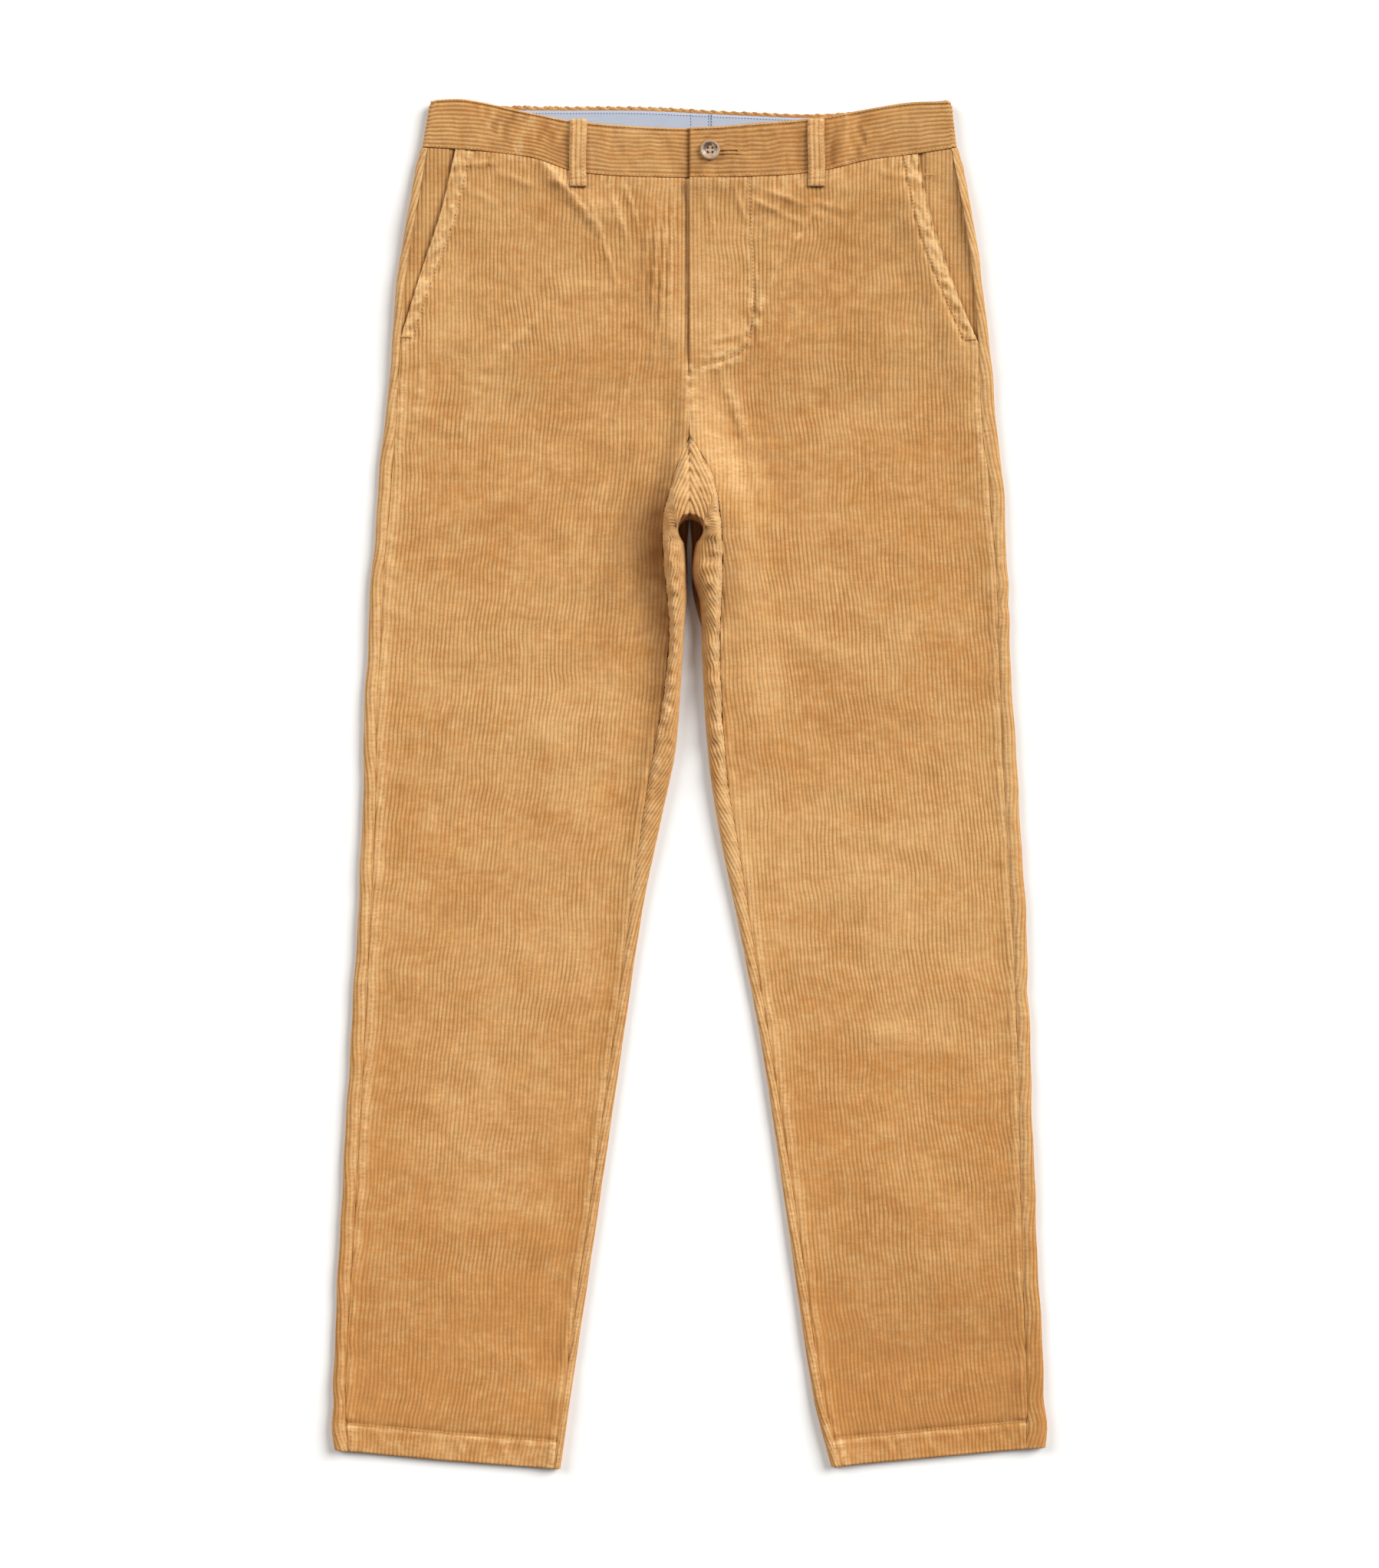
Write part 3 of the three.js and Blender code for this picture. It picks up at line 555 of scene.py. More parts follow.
def grain(sign, y):
    """x of the leg's grain line: straight down at the hip, then leaning outwards with the leg."""
    bend = 60.0
    down = bend * np.logaddexp(0, (250 - y) / bend)
    return sign * (120 + 0.090 * down)


def wale(cloth_x, pitch):
    """Cross-section of the pile across the wales, 0 in a groove and 1 on a wale: a broad rounded top and a
    narrow groove."""
    return np.abs(np.sin(math.pi * cloth_x / pitch)) ** 0.7


class Skin:
    """The points, cloth coordinates and triangles of one piece, gathered patch by patch. A point's cloth
    coordinates are its places across and along the wales and, where given, how worn the pile is there,
    together with painted light and shade: lighter where it stands for light, and below zero darker where it
    stands for shade."""

    def __init__(self):
        self.points, self.cloth, self.faces, self.count = [], [], [], 0

    def add(self, points, cloth, faces):
        """Adds a patch and returns the number of its first point."""
        start = self.count
        self.points.append(points.reshape(-1, 3))
        if cloth.shape[-1] == 2:
            cloth = np.concatenate([cloth, np.zeros(cloth.shape[:-1] + (1,))], -1)
        self.cloth.append(cloth.reshape(-1, 3))
        self.faces.append(faces + start)
        self.count += len(self.points[-1])
        return start

    def joined(self):
        """All points, cloth coordinates and triangles as three arrays."""
        return np.concatenate(self.points), np.concatenate(self.cloth), np.concatenate(self.faces)


def quads_to_triangles(ids, flip):
    """Two triangles for each cell of a grid of point numbers, without those that have shrunk to a line."""
    a, b, c, d = ids[:-1, :-1], ids[:-1, 1:], ids[1:, 1:], ids[1:, :-1]
    tris = np.concatenate([np.stack([a, b, c], -1).reshape(-1, 3), np.stack([a, c, d], -1).reshape(-1, 3)])
    if flip:
        tris = tris[:, ::-1]
    real = (tris[:, 0] != tris[:, 1]) & (tris[:, 1] != tris[:, 2]) & (tris[:, 2] != tris[:, 0])
    return tris[real]


def clipped_patch(skin, columns, low, high, place, flip=False):
    """A grid whose columns follow the grain and end at two edges: in each row a column value is held
    between low and high, and columns past an edge share the point on it.
    place(row numbers, column values) gives points and cloth coordinates.
    Returns the point numbers on the four edges: low, high, first row and last row."""
    first = np.searchsorted(columns, low, side="right") - 1
    last = np.searchsorted(columns, high, side="left")
    rows = np.arange(len(low))
    held = np.clip(np.arange(len(columns))[None, :], first[:, None], last[:, None])
    value = np.clip(columns[held], low[:, None], high[:, None])
    points, cloth = place(np.broadcast_to(rows[:, None], held.shape), value)
    full = rows[:, None] * len(columns) + held
    used, numbers = np.unique(full, return_inverse=True)
    numbers = numbers.reshape(full.shape)
    flat_points = points.reshape(-1, 3)[used]
    flat_cloth = cloth.reshape(-1, cloth.shape[-1])[used]
    start = skin.add(flat_points, flat_cloth, quads_to_triangles(numbers, flip))
    ids = numbers + start
    return {
        "low": ids[rows, first],
        "high": ids[rows, last],
        "start": ids[0, first[0] : last[0] + 1],
        "end": ids[-1, first[-1] : last[-1] + 1],
        "start_values": value[0, first[0] : last[0] + 1],
        "end_values": value[-1, first[-1] : last[-1] + 1],
    }


def grid_patch(skin, points, cloth, flip=False):
    """A plain grid of points, rows by columns. Returns its point numbers in the same layout."""
    ids = np.arange(points.shape[0] * points.shape[1]).reshape(points.shape[:2])
    start = skin.add(points, cloth, quads_to_triangles(ids, flip))
    return ids + start


def zip_lines(ids_a, at_a, ids_b, at_b):
    """Triangles between two lines of points that run side by side, each with its places from 0 to 1: the
    line whose next point comes first takes the next step."""
    steps_a, steps_b = at_a[1:], at_b[1:]
    near_b = np.searchsorted(steps_b, steps_a, side="left")
    near_a = np.searchsorted(steps_a, steps_b, side="right")
    along_a = np.stack([ids_a[:-1], ids_a[1:], ids_b[near_b]], -1)
    along_b = np.stack([ids_b[1:], ids_b[:-1], ids_a[near_a]], -1)
    return np.concatenate([along_a, along_b])


def join_lines(skin, faces, ids_a, at_a, ids_b, at_b):
    """Adds the triangles between two lines, turned so that the skin closes: a step of theirs along the first
    line runs against the same step of the face beside it."""
    tris = zip_lines(ids_a, at_a, ids_b, at_b)
    same = [(faces[:, k] == ids_a[0]) & (faces[:, (k + 1) % 3] == ids_a[1]) for k in range(3)]
    skin.faces.append(tris[:, ::-1] if np.any(same) else tris)


def rim(skin, outer, inner):
    """Joins the edge lines of the outer face to those of the same name on the inner face."""
    faces = np.concatenate(skin.faces)
    for name, line in outer.items():
        join_lines(skin, faces, *line, *inner[name])


def point_normals(points, faces):
    """Unit normals: each point's triangles added up by their area."""
    edge_a = points[faces[:, 1]] - points[faces[:, 0]]
    edge_b = points[faces[:, 2]] - points[faces[:, 0]]
    across = np.cross(edge_a, edge_b)
    total = np.zeros_like(points)
    for k in range(3):
        np.add.at(total, faces[:, k], across)
    length = np.linalg.norm(total, axis=1, keepdims=True)
    return total / np.maximum(length, 1e-12)


def share(values):
    """Places from 0 to 1 along a line, from rising or falling values."""
    v = np.asarray(values, float)
    return np.abs(v - v[0]) / abs(v[-1] - v[0])


def cloth_mesh(name, points, cloth, faces, material, replaces=(), slot="corduroy"):
    """One mesh in metres: welded where two points are in one place, with its cloth coordinates as a UV map
    in metres, shaded smooth, riding on the root and standing for its solid."""
    key = np.round(points * 2000).astype(np.int64)
    _, keep, back = np.unique(key, axis=0, return_index=True, return_inverse=True)
    back = back.reshape(-1)
    points, cloth, faces = points[keep], cloth[keep], back[faces]
    real = (faces[:, 0] != faces[:, 1]) & (faces[:, 1] != faces[:, 2]) & (faces[:, 2] != faces[:, 0])
    faces = faces[real]
    mesh = bpy.data.meshes.new(name)
    mesh.vertices.add(len(points))
    mesh.vertices.foreach_set("co", (points / MM).astype(np.float32).ravel())
    mesh.loops.add(len(faces) * 3)
    mesh.loops.foreach_set("vertex_index", faces.astype(np.int32).ravel())
    mesh.polygons.add(len(faces))
    mesh.polygons.foreach_set("loop_start", np.arange(0, len(faces) * 3, 3, dtype=np.int32))
    mesh.polygons.foreach_set("use_smooth", np.ones(len(faces), bool))
    mesh.update(calc_edges=True)
    layer = mesh.uv_layers.new(name="cloth")
    layer.data.foreach_set("uv", (cloth[faces.ravel(), :2] / MM).astype(np.float32).ravel())
    # The point attribute holds the pile's wear together with painted light and shade: painted highlights on
    # faces turned to the lamps, and painted shade below zero.
    mesh.attributes.new("wear_and_painted_light", "FLOAT", "POINT").data.foreach_set("value", cloth[:, 2].astype(np.float32))
    mesh.materials.append(material)
    piece = bpy.data.objects.new(name, mesh)
    bpy.context.scene.collection.objects.link(piece)
    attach(piece, "root")
    if replaces:
        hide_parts(*replaces)
    print(f"{name}: {len(faces)} triangles, open edges {open_edges(faces)}")
    return piece


def open_edges(faces):
    """How many triangle edges have no opposite neighbour, which is 0 on a closed mesh."""
    size = int(faces.max()) + 1
    forward = np.concatenate([faces[:, i] * size + faces[:, (i + 1) % 3] for i in range(3)])
    backward = np.concatenate([faces[:, (i + 1) % 3] * size + faces[:, i] for i in range(3)])
    return int((~np.isin(forward, backward)).sum()) + len(forward) - len(np.unique(forward))


def hem_line(sign, x):
    """y of the hem's fold over x: a line between its corners that hangs a little in the middle."""
    hem = HEMS[sign]
    outer, inner = (along(SIDES[sign], "y", c, hem[c]) for c in ("outer", "inner"))
    f = np.clip((x - outer) / (inner - outer), 0, 1)
    return mix(hem["outer"], hem["inner"], f) - 4 * hem["sag"] * f * (1 - f)


def panel_y(sign, x, base, waist, gap):
    """y of a point in the row that is at base in the middle of the panel: the first row follows the hem,
    the last one the seam under the waistband, and the rows between settle to straight ones."""
    hem_mid = mix(HEMS[sign]["outer"], HEMS[sign]["inner"], 0.5)
    low = (hem_line(sign, x) - hem_mid) * (1 - smooth(hem_mid, hem_mid + 160, base))
    near_waist = smooth(WAIST_BASE - WAIST_REACH, WAIST_BASE, base)
    return base + low + (along(waist, "x", "seam", x) - gap - WAIST_BASE) * near_waist


def panel_rows(sign, spacing, stops=(), dense=1.0):
    """The rows of a panel from hem to waist, so many times denser over the hem and from the crotch up, with a
    row at each stop."""
    hem_mid = mix(HEMS[sign]["outer"], HEMS[sign]["inner"], 0.5)
    hem_top, hip = hem_mid + 34, 250.0
    ends = sorted({hem_mid, hem_top, hip, *stops, WAIST_BASE})
    parts = []
    for low, high in zip(ends[:-1], ends[1:], strict=True):
        near = spacing / dense if low >= hip or high <= hem_top else spacing
        count = max(2, math.ceil((high - low) / near))
        parts.append(np.linspace(low, high, count, endpoint=False))
    rows = np.concatenate([*parts, [WAIST_BASE]])
    near_hem = hem_mid + np.array([0.5, 1.2, 2.2])
    near_waist = WAIST_BASE - np.array([0.6, 1.5])
    return np.unique(np.concatenate([rows, near_hem, near_waist]))


def seam_pucker(distance, s, seed):
    """Height beside a seam: a groove on the stitching, the allowance's low ridge beside it, and uneven
    puckers along it (s) that die out away from it."""
    d = np.abs(distance)
    uneven = cloud(s, 40 * seed, 7, 7, 12)
    ripple = cloud(s, d, 4.2, 6, 13) + 0.5 * cloud(s, d, 2.2, 4, 14)
    return -(0.5 + 0.3 * uneven) * bell(d, 1.0) + 0.5 * bell(d - 4.0, 2.4) + 0.45 * ripple * bell(d - 3, 3.5)


FLY_CURVE = table(
    ("t", "x", "y"),
    (0, 47, 474),
    (1, 48.5, 430),
    (2, 50.5, 385),
    (3, 48.6, 355),
    (4, 40, 338),
    (5, 25, 331),
    (6, 3, 325.5),
)


def fly_path(count):
    """Points of the fly's J-shaped stitching from the waist to the centre seam, evenly spaced."""
    t = np.linspace(0, 6, 400)
    x, y = along(FLY_CURVE, "t", "x", t), along(FLY_CURVE, "t", "y", t)
    s = np.concatenate([[0], np.cumsum(np.hypot(np.diff(x), np.diff(y)))])
    even = np.linspace(0, s[-1], count)
    return np.interp(even, s, x), np.interp(even, s, y)


def fly_distance(x, y):
    """Distance to the fly's stitching."""
    px, py = fly_path(60)
    near = np.full(np.shape(x), FAR)
    box = (x > -5) & (x < 75) & (y > 300)
    near[box] = np.hypot(x[box][:, None] - px[None, :], y[box][:, None] - py[None, :]).min(1)
    return near


def seam_distances(sign, x, y):
    """Distances to the pocket's edge, the outseam and the inseam of a front panel, far where there is none at
    that height."""
    pocket = POCKETS[sign]
    pocket_from = pocket["y"][0]
    mouth = np.where(y > pocket_from, np.abs(x - along(pocket, "y", "x", y)), FAR)
    outseam = np.where(y < pocket_from, np.abs(x - line_of(sign, "outseam", y)), FAR)
    inseam = np.where(y < INSEAM_TOP, np.abs(x - line_of(sign, "inseam", y)), FAR)
    return mouth, outseam, inseam


def mouth_puckers(mouth, y):
    """The knots of the pocket's edge, of two sizes."""
    return cloud(y, mouth, 4.6, 5, 20) + 0.5 * cloud(y, mouth, 2.4, 4, 21)


def front_face(sign, x, y):
    """Height of a front panel's face: the lying cloth with its hem, seams, pocket edge and fly."""
    z = cloth_top(x, y)
    if sign > 0:
        z = z + fly_rise(x, y)
        curve = fly_distance(x, y)
        lower = 1 - smooth(370, 430, y)
        bumps = cloud(x, y, 5, 5, 15) * bell(curve - 3.5, 4.0)
        z = z - (0.25 + 0.6 * lower) * bell(curve, 1.5) + (0.3 + 0.9 * lower) * bumps
        z = z + 0.5 * lower * bell(curve - 4.5, 2.5) + 0.35 * smooth(325, 345, y) * bell(x - 5, 4)
    else:
        z = z - 1.6 * bell(x + 1, 3.5) * smooth(330, 350, y)
    centre_seam = smooth(255, 290, y) * (1 - smooth(322, 338, y))
    z = z + centre_seam * (0.9 * bell(x, 7) - 0.5 * bell(x, 1.2) + 0.8 * cloud(x, y, 6, 4.5, 16) * bell(x, 9))
    hem_up = y - hem_line(sign, x)
    hem_stitch = hem_up - settings().cloth.hem_depth * MM
    z = z - HEM_ROLL * (1 - rolled(hem_up / CUT_ROLL))
    z = z - (0.8 + 0.5 * cloud(x, y, 6, 9, 17)) * bell(hem_stitch, 1.8)
    z = z + 0.55 * cloud(x + y * 0.3, y, 5.5, 14, 18) * bell(hem_up - 12, 10) + 0.3 * bell(hem_stitch + 4, 3)
    waist_down = along(BAND_FRONT, "x", "seam", x) - GAP - y
    gathers = cloud(x, y, 3.6, 14, 19) * mix(0.35, 0.8, smooth(5, 30, x) * (1 - smooth(85, 110, x)))
    z = z - 0.15 * bell(waist_down, 1.3) + gathers * bell(waist_down - 5, 8)
    z = z + (0.6 + 0.9 * np.where(x > 0, band_rise(x), 0)) * bell(waist_down, 12) * (np.abs(x) < 200)
    mouth, outseam, inseam = seam_distances(sign, x, y)
    z = z + seam_pucker(outseam, y, 1.0 + sign)
    z = z + seam_pucker(inseam, y, 2.0 + sign) * (1 - 0.8 * smooth(150, 220, y))
    stitch = settings().sewing.pocket * MM
    z = z - 1.1 * (1 - rolled(mouth / 1.6)) * (mouth < 1.6) + 0.7 * bell(mouth - 3.8, 2.6)
    z = z + 1.3 * mouth_puckers(mouth, y) * bell(mouth - 6.0, 4.5)
    return z - (0.9 + 0.4 * cloud(y, 0, 5, 5, 22)) * bell(mouth - stitch - 1.5, 1.6)


def nap_tone_and_painted_shade(x, y):
    """Broad lighter and darker places of the nap, each a bell in both directions; those beside the crotch are
    painted shade.
    """
    total = np.zeros(np.broadcast(x, y).shape)
    for cx, cy, wide, high, amount in NAP_TONES_AND_PAINTED_SHADE:
        total += amount * bell(x - cx, wide) * bell(y - cy, high)
    return total


def front_wear_and_painted_light(sign, x, y):
    """How worn the pile of a front panel is, with painted shade: rubbed light on the pocket's edge, along the
    seams and the fly, over the hem, lighter on the ridges of the creases, and less than none, which is
    darker, as painted shade beside the crotch, where the raised inseam keeps the lamps off the panel, and in
    the darker nap tones."""
    mouth, outseam, inseam = seam_distances(sign, x, y)
    hem_up = y - hem_line(sign, x)
    worn_and_painted_light = (0.80 + 0.7 * mouth_puckers(mouth, y)) * (1 - smooth(8, 13, mouth))
    worn_and_painted_light = worn_and_painted_light + 0.5 * bell(outseam - 3.5, 3) + 0.45 * bell(inseam - 3.5, 3)
    hem_depth = settings().cloth.hem_depth * MM
    worn_and_painted_light = worn_and_painted_light + 0.38 * (1 - smooth(19, 24, hem_up)) + 0.4 * (1 - smooth(0, 3, hem_up))
    worn_and_painted_light = worn_and_painted_light - 0.5 * bell(hem_up - hem_depth - 2, 2.2) + 0.2 * bell(hem_up - hem_depth + 2, 2.4)
    if sign > 0:
        dist = fly_distance(x, y)
        worn_and_painted_light = worn_and_painted_light + (0.35 + 0.8 * cloud(x, y, 5, 5, 15)) * bell(dist - 3.5, 4) * (1 - smooth(370, 430, y))
        worn_and_painted_light = worn_and_painted_light + 0.25 * bell(dist - 2, 3) - 0.5 * bell(dist, 1.2) * (1 - smooth(370, 430, y))
        worn_and_painted_light = worn_and_painted_light + 0.25 * bell(x - 3, 3) * smooth(320, 350, y)
    centre_seam = (1 - smooth(318, 335, y)) * smooth(INSEAM_TOP, 285, y)
    worn_and_painted_light = worn_and_painted_light + (0.5 + 0.5 * cloud(x, y, 6, 4.5, 16)) * bell(x, 6) * centre_seam
    # Painted shade beside the crotch: the wear is cut and pushed below zero where the raised inseam and
    # crotch keep the lamps at the upper right off the panel.
    beside = sign * (x - line_of(sign, "inseam", y))
    shadow = along(CROTCH_SINK, "y", SIDE_NAMES[sign], y) / 13.5
    worn_and_painted_light = worn_and_painted_light * (1 - np.clip(shadow, 0, 0.8) * bell(beside, 12))
    deep = 0.9 * bell(np.maximum(beside, 0), 7.0) + 0.8 * bell(np.maximum(beside, 0), 24.0)
    worn_and_painted_light = worn_and_painted_light - shadow * deep
    waist = along(BAND_FRONT, "x", "seam", x) - y
    worn_and_painted_light = worn_and_painted_light + 0.25 * bell(waist - 5, 4) + 0.5 * cloud(x, y, 3.6, 14, 19) * bell(waist - 4, 7)
    ridges = crease_height(x, y, FINE_CREASES) + 0.3 * crease_height(x, y, MAIN_CREASES)
    return worn_and_painted_light * patches(x, y) + 0.16 * ridges + nap_tone_and_painted_shade(x, y)


def painted_light_by_slope(x, y, z):
    """Painted light: how far a face on a grid of rows and columns turns to the upper edge and the right,
    where the lamps are and it is painted lighter, or (below zero) away from them, where it is painted darker."""
    steep = []
    for place, axis in ((x, 1), (y, 0)):
        step = np.gradient(place, axis=axis)
        apart = np.abs(step) > 0.2
        steep.append(np.where(apart, np.gradient(z, axis=axis) / np.where(apart, step, 1), 0))
    return np.clip(-0.45 * steep[0] - 0.9 * steep[1], -0.7, 0.7)


def front_skin(skin, sign, rows, columns, wall=0.0):
    """One face of a front panel: columns along the grain, clipped at the outseam or pocket mouth and at the
    inseam or fly. x is the grain line plus the column, y follows the row, z is the front's height less the
    groove between wales."""
    pitch = settings().cloth.wale_pitch * MM
    pocket = POCKETS[sign]
    outer = np.where(rows > pocket["y"][0], along(pocket, "y", "x", rows), line_of(sign, "outseam", rows))
    lap = 0.0 if sign > 0 else FLY_LAP * smooth(FLY_BOTTOM - 2, FLY_BOTTOM + 12, rows)
    inner = line_of(sign, "inseam", rows) + sign * GAP / 2
    inner = np.where(lap > 0, lap + GAP / 2, inner)
    base = grain(sign, rows)
    outer = outer - sign * GAP
    ends = np.stack([outer - sway(outer, rows) - base, inner - sway(inner, rows) - base])

    def place(row, value):
        x = base[row] + value
        for _ in range(4):
            x = base[row] + value + sway(x, rows[row])
        y = panel_y(sign, x, rows[row], BAND_FRONT, GAP)
        z = front_face(sign, x, y) - wall
        worn_and_painted_light = 0 * x
        if not wall:
            # Painted light and shade: lighter where the face turns to the lamps at the upper right, darker
            # where it turns away.
            worn_and_painted_light = front_wear_and_painted_light(sign, x, y) + 1.05 * painted_light_by_slope(x, y, z)
            z = z - wale_depth(x, y) * (1 - wale(value, pitch))
        return np.stack([x, y, z], -1), np.stack([value, rows[row] + 0 * value, worn_and_painted_light], -1)

    edges = clipped_patch(skin, columns, ends.min(0), ends.max(0), place, flip=wall > 0)
    at = share(rows)
    return {
        "low": (edges["low"], at),
        "high": (edges["high"], at),
        "hem": (edges["start"], share(edges["start_values"])),
        "waist": (edges["end"], share(edges["end_values"])),
    }


def wale_columns(low, high, pitch, per_wale):
    """Column values from below low to above high, so many to a wale, on the grooves and wales."""
    step = pitch / per_wale
    return np.arange(math.floor(low / step) - 1, math.ceil(high / step) + 2) * step


def build_front(sign):
    """A front panel as a closed wall."""
    cloth = settings().cloth
    pitch, wall = cloth.wale_pitch * MM, cloth.cloth * MM
    skin = Skin()
    reach = (-145.0, 145.0)
    fine = wale_columns(*reach, pitch, 4)
    coarse = wale_columns(*reach, pitch, 0.5)
    stops = (POCKETS[sign]["y"][0],)
    fine_rows = panel_rows(sign, cloth.row * MM, stops, 2.1)
    coarse_rows = panel_rows(sign, 18.0, stops)
    outer = front_skin(skin, sign, fine_rows, fine)
    inner = front_skin(skin, sign, coarse_rows, coarse, wall)
    rim(skin, outer, inner)
    name = f"front_{SIDE_NAMES[sign]}"
    piece = cloth_mesh(f"cloth_{name}", *skin.joined(), corduroy(), (name,))
    return piece


def grid(rows, columns):
    """Even steps from 0 to 1 for the u and the v of a sheet."""
    return np.linspace(0, 1, rows), np.linspace(0, 1, columns)


def closed_sheet(skin, surface, fine, coarse, wall, depth=0.0, flip=False):
    """A strip as a closed wall. surface(u, v) gives points and cloth coordinates of its outer face, for a
    column of u and a row of v. The outer face is drawn in by the groove between wales, and the inner face
    lies a wall's thickness behind it, on fewer points."""
    faces = []
    for (u, v), inset in ((fine, 0.0), (coarse, wall)):
        points, cloth = surface(np.asarray(u)[:, None], np.asarray(v)[None, :])
        ids = np.arange(points.shape[0] * points.shape[1]).reshape(points.shape[:2])
        tris = quads_to_triangles(ids, not flip)
        normals = point_normals(points.reshape(-1, 3), tris).reshape(points.shape)
        groove = 0.0 if inset else depth * (1 - wale(cloth[..., 0], settings().cloth.wale_pitch * MM))
        moved = points - normals * (groove + inset + np.zeros(points.shape[:2]))[..., None]
        numbers = grid_patch(skin, moved, cloth, flip=flip == (inset > 0))
        faces.append(
            {
                "u_low": (numbers[0], share(v)),
                "u_high": (numbers[-1], share(v)),
                "v_low": (numbers[:, 0], share(u)),
                "v_high": (numbers[:, -1], share(u)),
            }
        )
    rim(skin, *faces)
    return skin


LOWER_ARC = math.pi / 2 * FOLD_HALF
UPPER_ARC = 8.1


def crotch_edge(sign, w):
    """The inner fold (edge) and the inseam over w: from the hem at 0 to the crotch at 1, and from there
    round to the centre seam at 2, while the fold line turns from the leg's side to the crotch's underside."""
    leg, nose = np.clip(w, 0, 1), np.clip(w - 1, 0, 1)
    turn = math.pi / 2 * nose
    y = mix(HEMS[sign]["inner"], CROTCH_Y, leg)
    start = line_of(sign, "inner", np.array([CROTCH_Y]))[0]
    swing = np.maximum(np.cos(turn), 0)
    swung = start * swing + sign * CROTCH_ARCH[sign] * np.sin(2 * turn) * np.sqrt(swing)
    edge_x = np.where(w <= 1, line_of(sign, "inner", y), swung)
    edge_y = y + NOSE_SWING * np.sin(turn)
    seam_y = np.where(w <= 1, y, mix(CROTCH_Y, NOSE_TIP, nose))
    seam_x = line_of(sign, "inseam", seam_y)
    seam_x = np.where(w >= 2, 0, seam_x)
    contact_x = edge_x + sign * FOLD_HALF * np.cos(turn)
    contact_x = mix(contact_x, sign * 1.2, 0.9 * smooth(95, 160, edge_y) * (w <= 1.999))
    contact_y = edge_y + FOLD_HALF * np.sin(turn)
    clear = GAP / 2
    return {
        "edge": (sign * np.maximum(sign * edge_x, clear), edge_y),
        "seam": (sign * np.maximum(sign * seam_x, clear), seam_y),
        "contact": (sign * np.maximum(sign * contact_x, clear), contact_y),
    }


